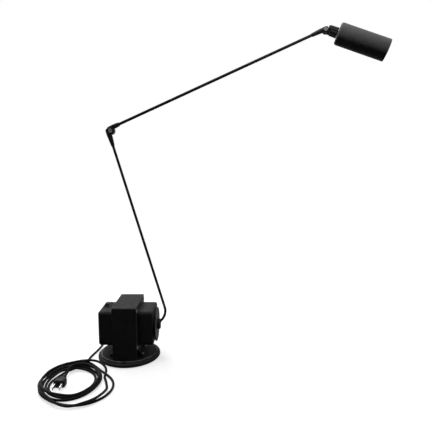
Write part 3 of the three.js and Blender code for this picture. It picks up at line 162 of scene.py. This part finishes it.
def mixColour(tree, share, first, second):
    mix = addNode(tree, "Mix", data_type="RGBA")
    tree.links.new(share, mix.inputs["Factor"])
    for socket, colour in ((mix.inputs[6], first), (mix.inputs[7], second)):
        if isinstance(colour, tuple):
            socket.default_value = (*colour, 1)
        else:
            tree.links.new(colour, socket)
    return mix.outputs[2]


# from 0 to 1, uneven, so that the edge wear and the painted highlights come and go
def patchesAt(tree, size, setup):
    return remap(tree, noiseAt(tree, size), setup["patchLow"], setup["patchHigh"], setup["least"], 1)


# the edges painted lighter: partly wear, partly a painted highlight along the edges
def wornAndHighlitEdges(tree, bevel, patchSize):
    geometry = addNode(tree, "NewGeometry")
    turn = addNode(tree, "VectorMath", operation="DOT_PRODUCT")
    tree.links.new(bevel.outputs["Normal"], turn.inputs[0])
    tree.links.new(geometry.outputs["Normal"], turn.inputs[1])
    edge = remap(tree, turn.outputs["Value"], edgeWearAndHighlight["flat"], edgeWearAndHighlight["sharp"])
    return combine(tree, "MULTIPLY", edge, patchesAt(tree, patchSize, edgeWearAndHighlight))


# a painted highlight in a band at one distance from the upright axis
def paintedHighlightRing(tree, radius, half, patchSize):
    place = addNode(tree, "TexCoord")
    flat = addNode(tree, "VectorMath", operation="MULTIPLY")
    flat.inputs[1].default_value = (1, 1, 0)
    reach = addNode(tree, "VectorMath", operation="LENGTH")
    off = addNode(tree, "Math", operation="SUBTRACT")
    off.inputs[1].default_value = radius
    size = addNode(tree, "Math", operation="ABSOLUTE")
    tree.links.new(place.outputs["Object"], flat.inputs[0])
    tree.links.new(flat.outputs["Vector"], reach.inputs[0])
    tree.links.new(reach.outputs["Value"], off.inputs[0])
    tree.links.new(off.outputs["Value"], size.inputs[0])
    band = remap(tree, size.outputs["Value"], half * ringHighlight["fullShare"], half, 1, 0)
    return combine(tree, "MULTIPLY", band, patchesAt(tree, patchSize, ringHighlight))


def addBump(tree, shader, height, depth, before=None):
    bump = addNode(tree, "Bump")
    bump.inputs["Strength"].default_value = 1
    bump.inputs["Distance"].default_value = depth
    tree.links.new(height, bump.inputs["Height"])
    if before is not None:
        tree.links.new(before, bump.inputs["Normal"])
    tree.links.new(bump.outputs["Normal"], shader.inputs["Normal"])
    return bump.outputs["Normal"]


def makeFinish(name, look):
    material, tree, shader = startMaterial(name, look)
    noiseEnds = surface["noiseLow"], surface["noiseHigh"]
    mottle = remap(tree, noiseAt(tree, look["mottleSize"], surface["mottleDetail"]), *noiseEnds)
    colour = mixColour(tree, mottle, look["colour"], look["mottled"])
    rounded = None
    # edges painted lighter, partly for wear and partly as a painted highlight where they catch the light
    if "wearAndHighlight" in look:
        bevel = addNode(tree, "Bevel", samples=surface["edgeSamples"])
        bevel.inputs["Radius"].default_value = look["edgeRadius"]
        rounded = bevel.outputs["Normal"]
        edges = wornAndHighlitEdges(tree, bevel, look["mottleSize"])
        colour = mixColour(tree, edges, colour, look["wearAndHighlight"])
    # a painted highlight in a ring, standing for the light that the rim catches
    if "ringRadius" in look:
        ring = paintedHighlightRing(tree, look["ringRadius"], look["ringHalf"], look["mottleSize"])
        colour = mixColour(tree, ring, colour, look["ringHighlightColour"])
    detail = look.get("grainDetail", surface["grainDetail"])
    grain = noiseAt(tree, look["grainSize"], detail, look.get("stretch", (1, 1, 1)))
    rough = remap(tree, grain, *noiseEnds, *look["roughness"])
    tree.links.new(rough, shader.inputs["Roughness"])
    raised = addBump(tree, shader, grain, look["grainDepth"], rounded)
    if "linePeriod" in look:
        lines = linesAt(tree, look["linePeriod"], look["lineDirection"])
        addBump(tree, shader, lines, look["lineDepth"], raised)
        between = remap(tree, lines, grooves["low"], grooves["high"])
        colour = mixColour(tree, between, look["lineColour"], colour)
    tree.links.new(colour, shader.inputs["Base Color"])
    return material


finishLooks = {
    "blackPaint": {
        "colour": (0.03, 0.03, 0.0312), "mottled": (0.042, 0.042, 0.0432), "mottleSize": 9 * mm,
        "wearAndHighlight": (0.17, 0.17, 0.172), "edgeRadius": 0.8 * mm,
        "roughness": (0.5, 0.66), "specular": 0.025,
        "grainSize": 0.42 * mm, "grainDepth": 0.008 * mm,
    },
    "rimPaint": {
        "colour": (0.02, 0.02, 0.021), "mottled": (0.028, 0.028, 0.029), "mottleSize": 11 * mm,
        "wearAndHighlight": (0.16, 0.16, 0.162), "edgeRadius": 0.8 * mm,
        # the tray's rim carries a painted highlight ring in this colour
        "ringRadius": 58.9 * mm, "ringHalf": 1.8 * mm, "ringHighlightColour": (0.3, 0.3, 0.303),
        "roughness": (0.5, 0.66), "specular": 0.025,
        "grainSize": 0.42 * mm, "grainDepth": 0.008 * mm,
    },
    # the head's black paint is painted lighter than the other black paint, standing in for the light that falls on
    # the head
    "headPaintWithPaintedLight": {
        "colour": (0.08, 0.08, 0.082), "mottled": (0.095, 0.095, 0.097), "mottleSize": 12 * mm,
        "wearAndHighlight": (0.22, 0.22, 0.222), "edgeRadius": 0.5 * mm,
        "roughness": (0.42, 0.5), "specular": 0.02,
        "grainSize": 0.35 * mm, "grainDepth": 0.004 * mm,
    },
    "coreSheet": {
        "colour": (0.03, 0.03, 0.032), "mottled": (0.045, 0.043, 0.043), "mottleSize": 4 * mm,
        "roughness": (0.5, 0.7), "specular": 0.15,
        "grainSize": 0.3 * mm, "grainDepth": 0.01 * mm,
        "linePeriod": 0.5 * mm, "lineDirection": "Y", "lineDepth": 0.06 * mm,
        "lineColour": (0.008, 0.008, 0.008),
    },
    "zincSteel": {
        "colour": (0.52, 0.53, 0.54), "mottled": (0.42, 0.43, 0.43), "mottleSize": 2.5 * mm,
        "roughness": (0.24, 0.4), "specular": 0.5, "metallic": 1,
        "grainSize": 0.2 * mm, "grainDepth": 0.004 * mm,
    },
    "blackSteel": {
        "colour": (0.075, 0.075, 0.078), "mottled": (0.11, 0.11, 0.112), "mottleSize": 2 * mm,
        "roughness": (0.34, 0.5), "specular": 0.3, "metallic": 0.9,
        "grainSize": 0.2 * mm, "grainDepth": 0.005 * mm,
    },
    "blackPlastic": {
        "colour": (0.018, 0.018, 0.0185), "mottled": (0.023, 0.023, 0.0235), "mottleSize": 3 * mm,
        "wearAndHighlight": (0.06, 0.06, 0.061), "edgeRadius": 0.3 * mm,
        "roughness": (0.36, 0.48), "specular": 0.06,
        "grainSize": 0.16 * mm, "grainDepth": 0.006 * mm,
    },
    "blackRubber": {
        "colour": (0.018, 0.018, 0.018), "mottled": (0.026, 0.026, 0.026), "mottleSize": 2 * mm,
        "roughness": (0.66, 0.82), "specular": 0.12,
        "grainSize": 0.25 * mm, "grainDepth": 0.012 * mm,
    },
    "cordSheath": {
        "colour": (0.01, 0.01, 0.0105), "mottled": (0.015, 0.015, 0.0155), "mottleSize": 14 * mm,
        "roughness": (0.42, 0.54), "specular": 0.04,
        "grainSize": 0.5 * mm, "grainDepth": 0.01 * mm,
    },
    "copperWire": {
        "colour": (0.5, 0.17, 0.06), "mottled": (0.36, 0.11, 0.04), "mottleSize": 3 * mm,
        "roughness": (0.2, 0.34), "specular": 0.5, "metallic": 1,
        "grainSize": 0.3 * mm, "grainDepth": 0.003 * mm,
        "linePeriod": 0.7 * mm, "lineDirection": "Z", "lineDepth": 0.16 * mm,
        "lineColour": (0.08, 0.02, 0.01),
    },
    "formerPlastic": {
        "colour": (0.6, 0.52, 0.36), "mottled": (0.54, 0.46, 0.3), "mottleSize": 5 * mm,
        "roughness": (0.5, 0.62), "specular": 0.35,
        "grainSize": 0.3 * mm, "grainDepth": 0.008 * mm,
    },
    "frictionFibre": {
        "colour": (0.15, 0.09, 0.05), "mottled": (0.24, 0.15, 0.08), "mottleSize": 0.9 * mm,
        "roughness": (0.8, 0.95), "specular": 0.15,
        "grainSize": 0.3 * mm, "grainDepth": 0.05 * mm, "grainDetail": 5, "stretch": (1, 3, 1),
    },
    "brightAluminium": {
        "colour": (0.82, 0.83, 0.84), "mottled": (0.74, 0.75, 0.77), "mottleSize": 6 * mm,
        "roughness": (0.1, 0.2), "specular": 0.5, "metallic": 1,
        "grainSize": 1.6 * mm, "grainDepth": 0.12 * mm, "grainDetail": 0,
    },
    "porcelain": {
        "colour": (0.72, 0.7, 0.64), "mottled": (0.66, 0.63, 0.56), "mottleSize": 3 * mm,
        "roughness": (0.3, 0.5), "specular": 0.5, "coat": 0.5, "coatRoughness": 0.1,
        "grainSize": 0.4 * mm, "grainDepth": 0.01 * mm,
    },
    "quartzGlass": {
        "colour": (0.94, 0.95, 0.96), "mottled": (0.9, 0.91, 0.93), "mottleSize": 6 * mm,
        "roughness": (0.02, 0.08), "specular": 0.5, "transmission": 0.9, "ior": 1.46,
        "grainSize": 2 * mm, "grainDepth": 0.01 * mm,
    },
}
finishes = {name: makeFinish(name, look) for name, look in finishLooks.items()}

# the record's slot names, with the finish that each takes here
slotFinishes = {
    "black_paint": "blackPaint",
    "black_aluminium": "headPaintWithPaintedLight",
    "core_sheet": "coreSheet",
    "zinc_steel": "zincSteel",
    "black_plastic": "blackPlastic",
    "black_rubber": "blackRubber",
    "cord_sheath": "cordSheath",
    "copper_wire": "copperWire",
    "former_plastic": "formerPlastic",
    "friction_fibre": "frictionFibre",
    "bright_aluminium": "brightAluminium",
    "porcelain": "porcelain",
    "quartz_glass": "quartzGlass",
}
slotOfNode = {part["node"]: part["material_slot"] for part in frame["record"]["subparts"]}
# the tray with a painted highlight in a ring on its rim, and the pins, nuts, rivets and screws that are blackened
nodeFinishes = {
    "turntable": "rimPaint",
    "tilt_axle": "blackSteel",
    **{f"{place}_{kind}": "blackSteel" for place in ("elbow", "wrist") for kind in ("pin", "nut")},
    **{f"{kind}_{i}": "blackSteel" for kind in ("core_rivet", "foot_screw") for i in range(1, 5)},
}


def dressNode(name):
    finish = nodeFinishes.get(name, slotFinishes[slotOfNode[name]])
    for slot in nodes[name].material_slots:
        slot.material = finishes[finish]


for name in nodes:
    dressNode(name)
print("finishes made:", len(finishes))


# a ring of points round a centre, which turns from across to up
def ringRound(centre, across, up, radius, sides):
    ring = []
    for i in range(sides):
        turn = fullTurn * i / sides
        ring.append(centre + across * (radius * math.cos(turn)) + up * (radius * math.sin(turn)))
    return ring


# skins rings of equally many points: with capped ends, or endless, from the last ring to the first
def skinRings(rings, endless):
    mesh = bmesh.new()
    rows = [[mesh.verts.new(point) for point in ring] for ring in rings]
    count = len(rows[0])
    nextRows = rows[1:] + rows[:1] if endless else rows[1:]
    for low, high in zip(rows, nextRows):
        for i in range(count):
            j = (i + 1) % count
            mesh.faces.new((low[i], low[j], high[j], high[i]))
    if not endless:
        mesh.faces.new(rows[0])
        mesh.faces.new(rows[-1])
    return mesh


# makes a piece of its rings, with sharp edges over an angle of its own, and hides the CAD parts that it stands in
# for
def finishPiece(name, rings, body, slot, replaced, setup, endless=False):
    skin = skinRings(rings, endless)
    bmesh.ops.recalc_face_normals(skin, faces=skin.faces)
    mesh = bpy.data.meshes.new(name)
    skin.to_mesh(mesh)
    skin.free()
    piece = bpy.data.objects.new(name, mesh)
    scene.collection.objects.link(piece)
    for face in mesh.polygons:
        face.use_smooth = True
    mesh.set_sharp_from_angle(angle=math.radians(setup["sharpAngle"]))
    mesh.materials.append(finishes[slotFinishes[slot]])
    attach(piece, body)
    if replaced:
        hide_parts(*replaced)
    return piece


# the ribbed sleeve that the cord leaves the foot through
strainRelief = {
    "start": 0.057, "rim": 0.0662, "end": 0.0913,   # from the foot's middle
    "height": 0.0047, "angle": 105,
    "rootHalf": 0.0026, "collar": 0.0039, "tip": 0.0029, "groove": 0.0007,
    "ribs": 6, "sides": 28, "sharpAngle": 40,
    "ribShare": 0.6, "lastRibShare": 0.45, "lastPitchShare": 0.5,   # of the distance between ribs
    "softShare": 0.16, "dropShare": 0.8, "slopeShare": 0.5,   # a rib's soft edge, of its width
}


def makeStrainRelief(setup):
    angle = math.radians(setup["angle"])
    up = Vector((0, 0, 1))
    along = Vector((math.cos(angle), math.sin(angle), 0))
    across = up.cross(along)
    rows = [(setup["start"], setup["rootHalf"]), (setup["rim"], setup["rootHalf"])]
    pitch = (setup["end"] - setup["rim"]) / (setup["ribs"] + setup["lastPitchShare"])
    for rib in range(setup["ribs"] + 1):
        isLast = rib == setup["ribs"]
        radius = setup["collar"] + (setup["tip"] - setup["collar"]) * rib / setup["ribs"]
        low = setup["rim"] + rib * pitch
        high = low + pitch * setup["lastRibShare" if isLast else "ribShare"]
        soft = (high - low) * setup["softShare"]
        edge = radius - soft * setup["dropShare"]
        rows += [(low, edge), (low + soft, radius), (high - soft, radius), (high, edge)]
        if not isLast:
            slope = soft * setup["slopeShare"]
            groove = radius - setup["groove"]
            rows += [(high + slope, groove), (low + pitch - slope, groove)]
    rings = [
        ringRound(along * reach + up * setup["height"], across, up, radius, setup["sides"])
        for reach, radius in rows
    ]
    return finishPiece("strainReliefSleeve", rings, "foot", "black_rubber", ["cord_relief"], setup)


# the moulded plug, round its two solid blades
plugBody = {
    "x": -0.104, "rear": -0.113, "height": 0.0078, "sides": 48, "sharpAngle": 50,
    # how far forward, half width, half height, corner share
    "rings": (
        (0, 0.0031, 0.0030, 1), (0.0006, 0.0041, 0.0036, 0.9), (0.0035, 0.0045, 0.0040, 0.8),
        (0.010, 0.0050, 0.0043, 0.7), (0.0135, 0.0068, 0.0053, 0.6), (0.0165, 0.0096, 0.0067, 0.55),
        (0.0195, 0.0109, 0.0074, 0.5), (0.024, 0.01098, 0.0075, 0.5), (0.0303, 0.01095, 0.00745, 0.5),
        (0.0315, 0.0106, 0.0071, 0.5), (0.032, 0.0099, 0.0064, 0.5),
    ),
    "ribs": 4, "ribFrom": 0.0025, "ribPitch": 0.0021, "ribDepth": 0.00045,
    # along one rib's pitch, and how much of its depth the surface sinks there
    "ribShares": ((0, 0), (0.25, 1), (0.5, 1), (0.75, 0)),
    "roundPower": 2, "squarePower": 6,   # a ring's outline at corner shares of 1 and 0
}


def plugRing(setup, forward, halfWidth, halfHeight, corner):
    power = 2 / (setup["squarePower"] + (setup["roundPower"] - setup["squarePower"]) * corner)
    ring = []
    for i in range(setup["sides"]):
        turn = fullTurn * i / setup["sides"]
        across, up = math.cos(turn), math.sin(turn)
        x = halfWidth * math.copysign(abs(across) ** power, across)
        z = halfHeight * math.copysign(abs(up) ** power, up)
        ring.append(Vector((setup["x"] + x, setup["rear"] - forward, setup["height"] + z)))
    return ring


def makePlug(setup):
    rows = list(setup["rings"])
    for rib in range(setup["ribs"]):
        low = setup["ribFrom"] + rib * setup["ribPitch"]
        for step, depth in setup["ribShares"]:
            place = low + step * setup["ribPitch"]
            below = max(row for row in setup["rings"] if row[0] <= place)
            above = min(row for row in setup["rings"] if row[0] > place)
            share = (place - below[0]) / (above[0] - below[0])
            width, height, corner = (b + (a - b) * share for b, a in zip(below[1:], above[1:]))
            sink = setup["ribDepth"] * depth
            rows.append((place, width - sink, height - sink, corner))
    rings = [plugRing(setup, *row) for row in sorted(rows)]
    return finishPiece("plugMoulding", rings, "foot", "black_plastic", ["plug_body"], setup)


# the coil: its turns are laid outwards, and the last ones wander back over the heap
coil = {
    "centre": (-0.085, -0.129), "halfWidth": 0.057, "halfDepth": 0.069,
    "start": 143, "turns": 5.845, "pointsPerTurn": 20,
    # how far out, of the half sizes: at first, more with each turn out, and at last, with a slight swing
    "firstShare": 0.69, "perTurnShare": 0.0925, "turnsOut": 3.84, "lastShare": 0.86,
    "swingShare": 0.02, "swingBelowShare": 0.3, "turnsPerSwing": 0.73,
    # loops that stand out of the heap: where along the turns, how far out, over how many turns
    "lobeShares": ((3.52, 0.48, 0.22), (3.91, 0.12, 0.16), (4.47, 0.44, 0.2), (4.77, 0.24, 0.16)),
}


# how far out the coil lies after so many turns, as a share of its half sizes
def coilReach(setup, turn):
    back = max(turn - setup["turnsOut"], 0) / (setup["turns"] - setup["turnsOut"])
    spiral = setup["firstShare"] + setup["perTurnShare"] * min(turn, setup["turnsOut"])
    swing = setup["swingShare"] * math.sin(fullTurn * turn / setup["turnsPerSwing"])
    if back == 0:
        swing *= setup["swingBelowShare"]
    reach = spiral + (setup["lastShare"] - spiral) * back + swing
    for at, out, spread in setup["lobeShares"]:
        off = min(abs(turn - at) / spread, 1)
        reach += out * (1 - off ** 2) ** 2
    return reach


def coilPoints(setup):
    points = []
    count = round(setup["turns"] * setup["pointsPerTurn"])
    for i in range(count + 1):
        turn = setup["turns"] * i / count
        angle = math.radians(setup["start"]) + fullTurn * turn
        heading = Vector((math.cos(angle), math.sin(angle)))
        ellipse = 1 / math.hypot(heading.x / setup["halfWidth"], heading.y / setup["halfDepth"])
        points.append(Vector(setup["centre"]) + heading * (ellipse * coilReach(setup, turn)))
    return points


# the mains cord, with the part of its way over the table that isn't coiled given point by point
mainsCord = {
    "length": 2.554, "diameter": 0.0048, "roundSteps": 5,
    "seat": 0.0003,              # from the strain relief and from the plug
    "floorGap": 0.0003,
    "straightEnd": 0.014,
    "lead": (
        (-0.0333, 0.1132), (-0.047, 0.1209), (-0.0616, 0.1162), (-0.0707, 0.101), (-0.0715, 0.066),
        (-0.072, 0.041), (-0.075, 0.017), (-0.08, -0.011), (-0.0825, -0.034),
        (-0.086, -0.051), (-0.095, -0.066), (-0.108, -0.079),
    ),
    "toPlug": ((-0.09, -0.071), (-0.0993, -0.0794)),
    "samplesPerPoint": 20, "step": 0.0135, "decimals": 4, "splineSteps": 4,
    # where it crosses itself: the air between, and the hump's half length for its height and at least
    "clearance": 0.00075, "humpShare": 5.5, "humpLeast": 0.026,
    "crossingSamples": 3, "neighbours": 3, "passes": 12,
}


# the cord's points in plan, from the strain relief to the plug
def planPoints(setup):
    angle = math.radians(strainRelief["angle"])
    outward = Vector((math.cos(angle), math.sin(angle)))
    start = strainRelief["end"] + setup["seat"]
    end = Vector((plugBody["x"], plugBody["rear"] + setup["seat"]))
    return [
        outward * start,
        outward * (start + setup["straightEnd"]),
        *(Vector(point) for point in setup["lead"]),
        *coilPoints(coil),
        *(Vector(point) for point in setup["toPlug"]),
        end + Vector((0, setup["straightEnd"])),
        end,
    ]


# a point on the smooth line through a row of points, whose first and last only steer it
def pointAlong(line, place):
    run = min(int(place), len(line) - 4)
    t = place - run
    before, start, end, after = line[run:run + 4]
    first, middle, last = (math.sqrt((b - a).length) for a, b in zip(line[run:], line[run + 1:run + 4]))
    leave = (end - start) + ((start - before) / first - (end - before) / (first + middle)) * middle
    arrive = (end - start) + ((after - end) / last - (after - start) / (middle + last)) * middle
    return (
        start + leave * t
        + (3 * (end - start) - 2 * leave - arrive) * t ** 2
        + (2 * (start - end) + leave + arrive) * t ** 3
    )


# the smooth line through the points of the plan, in even steps
def evenSteps(points, setup):
    line = [2 * points[0] - points[1], *points, 2 * points[-1] - points[-2]]
    places = numpy.linspace(0, len(points) - 1, len(points) * setup["samplesPerPoint"] + 1)
    fine = [pointAlong(line, place) for place in places]
    reached = numpy.cumsum([0] + [(b - a).length for a, b in zip(fine, fine[1:])])
    count = round(reached[-1] / setup["step"])
    wanted = numpy.linspace(0, reached[-1], count + 1)
    return [pointAlong(line, place) for place in numpy.interp(wanted, reached, places)]


# where the line comes over a run laid before it: which point, which run, where on it, how far above it
def findCrossings(line, setup):
    apart = setup["diameter"] + setup["clearance"]
    neighbours, samples = setup["neighbours"], setup["crossingSamples"]
    found = []
    for i in range(neighbours + 1, len(line) - 1):
        for k in range(samples + 1):
            point = line[i].lerp(line[i + 1], k / samples)
            for j in range(i - neighbours):
                run = line[j + 1] - line[j]
                share = min(max((point - line[j]).dot(run) / run.length_squared, 0), 1)
                distance = (line[j] + run * share - point).length
                if distance < apart:
                    found.append((i, j, share, math.sqrt(apart ** 2 - distance ** 2)))
    return found


# smooth humps that stand over all the needed heights
def humpsOver(needs, setup):
    humps = [0] * len(needs)
    for i, need in enumerate(needs):
        reach = max(setup["humpShare"] * need, setup["humpLeast"])
        steps = int(reach / setup["step"])
        for k in range(max(i - steps, 0), min(i + steps + 1, len(needs))):
            off = abs(i - k) * setup["step"] / reach
            humps[k] = max(humps[k], need * (1 - off ** 2) ** 2)
    return humps


# how high each point lies above the table, so that the turns rest on each other
def liftsOf(line, setup, exitLift, plugLift):
    crossings = findCrossings(line, setup)
    lifts = [0] * len(line)
    for _ in range(setup["passes"]):
        needs = [0] * len(line)
        for i, j, share, above in crossings:
            need = lifts[j] + (lifts[j + 1] - lifts[j]) * share + above
            needs[i] = max(needs[i], need)
            needs[i + 1] = max(needs[i + 1], need)
        needs[:2] = exitLift, exitLift
        needs[-2:] = plugLift, plugLift
        humps = humpsOver(needs, setup)
        padded = [humps[0], *humps, humps[-1]]
        lifts = [max(b, (a + 2 * b + c) / 4) for a, b, c in zip(padded, humps, padded[2:])]
    lifts[:2] = exitLift, exitLift
    lifts[-2:] = plugLift, plugLift
    return lifts


# how high the middle of a cord that lies on the table is
def restHeight(setup):
    return setup["diameter"] / 2 + setup["floorGap"]


# the whole route in metres, rounded to a tenth of a millimetre
def layCord(setup):
    floor = restHeight(setup)
    line = evenSteps(planPoints(setup), setup)
    lifts = liftsOf(line, setup, strainRelief["height"] - floor, plugBody["height"] - floor)
    places = ((point.x, point.y, floor + lift) for point, lift in zip(line, lifts))
    return [tuple(round(size, setup["decimals"]) for size in place) for place in places]


# a smooth line through all the points, in a few steps from each to the next
def smoothThrough(points, steps):
    made = []
    last = len(points) - 1
    for i in range(last):
        before, start, end, after = (points[min(max(k, 0), last)] for k in (i - 1, i, i + 1, i + 2))
        for k in range(steps):
            t = k / steps
            made.append(0.5 * (
                2 * start + (end - before) * t
                + (2 * before - 5 * start + 4 * end - after) * t ** 2
                + (3 * start - before - 3 * end + after) * t ** 3
            ))
    made.append(points[last])
    return made


def makeMainsCord(setup, route):
    points = smoothThrough([Vector(point) for point in route], setup["splineSteps"])
    curve = bpy.data.curves.new("mainsCord", "CURVE")
    curve.dimensions = "3D"
    curve.bevel_depth = setup["diameter"] / 2
    curve.bevel_resolution = setup["roundSteps"]
    curve.use_fill_caps = True
    spline = curve.splines.new("POLY")
    spline.points.add(len(points) - 1)
    for place, point in zip(spline.points, points):
        place.co = (point.x, point.y, max(point.z, restHeight(setup)), 1)
    spline.use_smooth = True
    curve.materials.append(finishes["cordSheath"])
    cord = bpy.data.objects.new("mainsCord", curve)
    scene.collection.objects.link(cord)
    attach(cord, "foot")
    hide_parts("cord_lead", "cord_coil")
    return cord


cordRoute = layCord(mainsCord)
cord = makeMainsCord(mainsCord, cordRoute)
print("cord laid:", len(cordRoute), "points")

makeStrainRelief(strainRelief)
plug = makePlug(plugBody)
print("strain relief and plug made")


# the head at rest: its bend from the upper rod in degrees, and from its pivot to the middle of its back
headPose = {"bend": 45.87, "reach": 0.0245, "rise": 0.0032}

headAcross = Vector(joints["head_tilt"]["axis"])
rodAxis = Vector(joints["head_turn"]["axis"])
headAlong = Matrix.Rotation(math.radians(headPose["bend"]), 3, headAcross) @ rodAxis
headUp = headAlong.cross(headAcross)
headPivot = Vector(joints["head_tilt"]["pos_m"])


# a point in the head's own axes, from the middle of its back
def headPoint(along, across, up):
    reach, rise = headPose["reach"] + along, headPose["rise"] + up
    return headPivot + headAlong * reach + headAcross * across + headUp * rise


def arcRows(centreAlong, centreRadius, radius, fromDegrees, toDegrees, steps):
    rows = []
    for step in range(steps + 1):
        turn = math.radians(fromDegrees + (toDegrees - fromDegrees) * step / steps)
        rows.append((centreAlong + radius * math.sin(turn), centreRadius + radius * math.cos(turn)))
    return rows


# the head: a drawn can with a soft shoulder, a rolled mouth and a hole for the neck
headShell = {
    "radius": 0.0222, "length": 0.1027, "wall": 0.0012, "backWall": 0.0016, "hole": 0.005,
    "shoulder": 0.0048, "roll": 0.0013, "lip": 0.0026,
    "sides": 112, "shoulderSteps": 10, "rollSteps": 6, "sharpAngle": 40,
}


def makeHeadShell(setup):
    radius, length, wall = setup["radius"], setup["length"], setup["wall"]
    shoulder, roll, back = setup["shoulder"], setup["roll"], setup["backWall"]
    shoulderSteps, rollSteps = setup["shoulderSteps"], setup["rollSteps"]
    mouth = radius - setup["lip"]
    inner = radius - wall
    innerShoulder = shoulder - wall
    rows = [
        (0, setup["hole"]),
        *arcRows(shoulder, radius - shoulder, shoulder, -90, 0, shoulderSteps),
        *arcRows(length - roll, radius - roll, roll, 0, 90, rollSteps),
        (length, mouth),
        (length - wall, mouth),
        (length - wall - roll, inner),
        *arcRows(back + innerShoulder, inner - innerShoulder, innerShoulder, 0, -90, rollSteps),
        (back, setup["hole"]),
    ]
    rings = [
        ringRound(headPoint(along, 0, 0), headAcross, headUp, size, setup["sides"])
        for along, size in rows
    ]
    return finishPiece("headShell", rings, "head", "black_aluminium", ["head_shell"], setup, endless=True)


makeHeadShell(headShell)


# the coiled filament of the lamp, held on two wires inside the glass
filament = {
    "foot": 0.0395, "from": 0.0462, "to": 0.0545, "spread": 0.0026, "wire": 0.00014, "sides": 6,
    "coilRadius": 0.0008, "turns": 11, "stepsPerTurn": 12, "sharpAngle": 60,
}


def filamentPoints(setup):
    spread, radius = setup["spread"], setup["coilRadius"]
    points = [headPoint(setup["foot"], 0, -spread), headPoint(setup["from"], 0, -spread)]
    count = setup["turns"] * setup["stepsPerTurn"]
    for step in range(count + 1):
        share = step / count
        turn = fullTurn * share * setup["turns"]
        along = setup["to"] - radius + radius * math.cos(turn)
        points.append(headPoint(along, radius * math.sin(turn), -spread + 2 * spread * share))
    return points + [headPoint(setup["from"], 0, spread), headPoint(setup["foot"], 0, spread)]


def makeFilament(setup):
    points = filamentPoints(setup)
    last = len(points) - 1
    rings = []
    for i, point in enumerate(points):
        heading = (points[min(i + 1, last)] - points[max(i - 1, 0)]).normalized()
        across = (headAcross - heading * headAcross.dot(heading)).normalized()
        rings.append(ringRound(point, across, heading.cross(across), setup["wire"], setup["sides"]))
    return finishPiece("bulbFilament", rings, "head", "zinc_steel", [], setup)


makeFilament(filament)
print("head and filament made")


# the floor takes the lamp's shadow nearby, and fades into the white background further out
studio = {
    "floorSize": 40, "fadeFrom": 0.35, "fadeTo": 1.1, "floorColour": (0.5, 0.5, 0.5), "floorGlow": 0.68,
    "bounceColour": (0.03, 0.03, 0.03), "roomLight": 0.02,
}
softboxes = {
    # place, aim, width, depth, watts, spread in degrees
    "topSoftbox": ((-0.35, 0.1, 2.1), (0.1, 0, 0.3), 1.4, 1.2, 30, 180),
    "backSoftbox": ((-0.9, 1.3, 1.4), (0.1, 0, 0.4), 0.9, 0.7, 16, 180),
    "sideSoftbox": ((1.7, 0.3, 1.0), (0.06, 0, 0.08), 0.6, 0.9, 5, 180),
    "headSoftbox": ((0.33, -0.75, 1.9), (0.46, 0, 0.66), 0.35, 0.35, 0.5, 26),
    "frontSoftbox": ((-1.0, -1.9, 1.6), (0.05, 0, 0.3), 1.0, 1.0, 0.3, 180),
}


# 1 for camera, glossy and transmitted rays, which see the pale background, and 0 for the rest
def seenDirectly(tree):
    path = addNode(tree, "LightPath")
    first = combine(tree, "MAXIMUM", path.outputs["Is Camera Ray"], path.outputs["Is Glossy Ray"])
    return combine(tree, "MAXIMUM", first, path.outputs["Is Transmission Ray"])


def mixShaders(tree, share, first, second):
    mix = addNode(tree, "MixShader")
    for socket, value in zip(mix.inputs, (share, first, second)):
        tree.links.new(value, socket)
    return mix.outputs[0]


def plainShader(tree, kind, colour=(1, 1, 1), strength=None):
    shader = addNode(tree, kind)
    shader.inputs["Color"].default_value = (*colour, 1)
    if strength is not None:
        shader.inputs["Strength"].default_value = strength
    return shader.outputs[0]


def lightRoom(setup):
    world = bpy.data.worlds.new("paleRoom")
    world.use_nodes = True
    scene.world = world
    tree = world.node_tree
    tree.nodes.clear()
    working = plainShader(tree, "Background", strength=setup["roomLight"])
    seen = plainShader(tree, "Background", strength=1)
    out = addNode(tree, "OutputWorld")
    tree.links.new(mixShaders(tree, seenDirectly(tree), working, seen), out.inputs["Surface"])


def floorFinish(setup):
    material = bpy.data.materials.new("paleFloor")
    material.use_nodes = True
    tree = material.node_tree
    tree.nodes.clear()
    near = addNode(tree, "AddShader")
    tree.links.new(plainShader(tree, "BsdfDiffuse", setup["floorColour"]), near.inputs[0])
    tree.links.new(plainShader(tree, "Emission", strength=setup["floorGlow"]), near.inputs[1])
    place = addNode(tree, "TexCoord")
    reach = addNode(tree, "VectorMath", operation="LENGTH")
    tree.links.new(place.outputs["Object"], reach.inputs[0])
    fade = remap(tree, reach.outputs["Value"], setup["fadeFrom"], setup["fadeTo"])
    seen = mixShaders(tree, fade, near.outputs[0], plainShader(tree, "Emission", strength=1))
    bounce = plainShader(tree, "BsdfDiffuse", setup["bounceColour"])
    out = addNode(tree, "OutputMaterial")
    tree.links.new(mixShaders(tree, seenDirectly(tree), bounce, seen), out.inputs["Surface"])
    return material


def makeFloor(setup):
    half = setup["floorSize"] / 2
    square = bmesh.new()
    corners = ((-half, -half), (half, -half), (half, half), (-half, half))
    square.faces.new([square.verts.new((x, y, 0)) for x, y in corners])
    mesh = bpy.data.meshes.new("paleFloor")
    square.to_mesh(mesh)
    square.free()
    mesh.materials.append(floorFinish(setup))
    floor = bpy.data.objects.new("paleFloor", mesh)
    scene.collection.objects.link(floor)


def hangSoftbox(name, place, aim, width, depth, watts, spread):
    light = bpy.data.lights.new(name, "AREA")
    light.shape = "RECTANGLE"
    light.size = width
    light.size_y = depth
    light.energy = watts
    light.spread = math.radians(spread)
    box = bpy.data.objects.new(name, light)
    box.location = place
    box.rotation_euler = (Vector(aim) - Vector(place)).to_track_quat("-Z", "Y").to_euler()
    scene.collection.objects.link(box)


lightRoom(studio)
makeFloor(studio)
for name, setup in softboxes.items():
    hangSoftbox(name, *setup)
scene.view_settings.view_transform = "Standard"
print("floor and lights made")
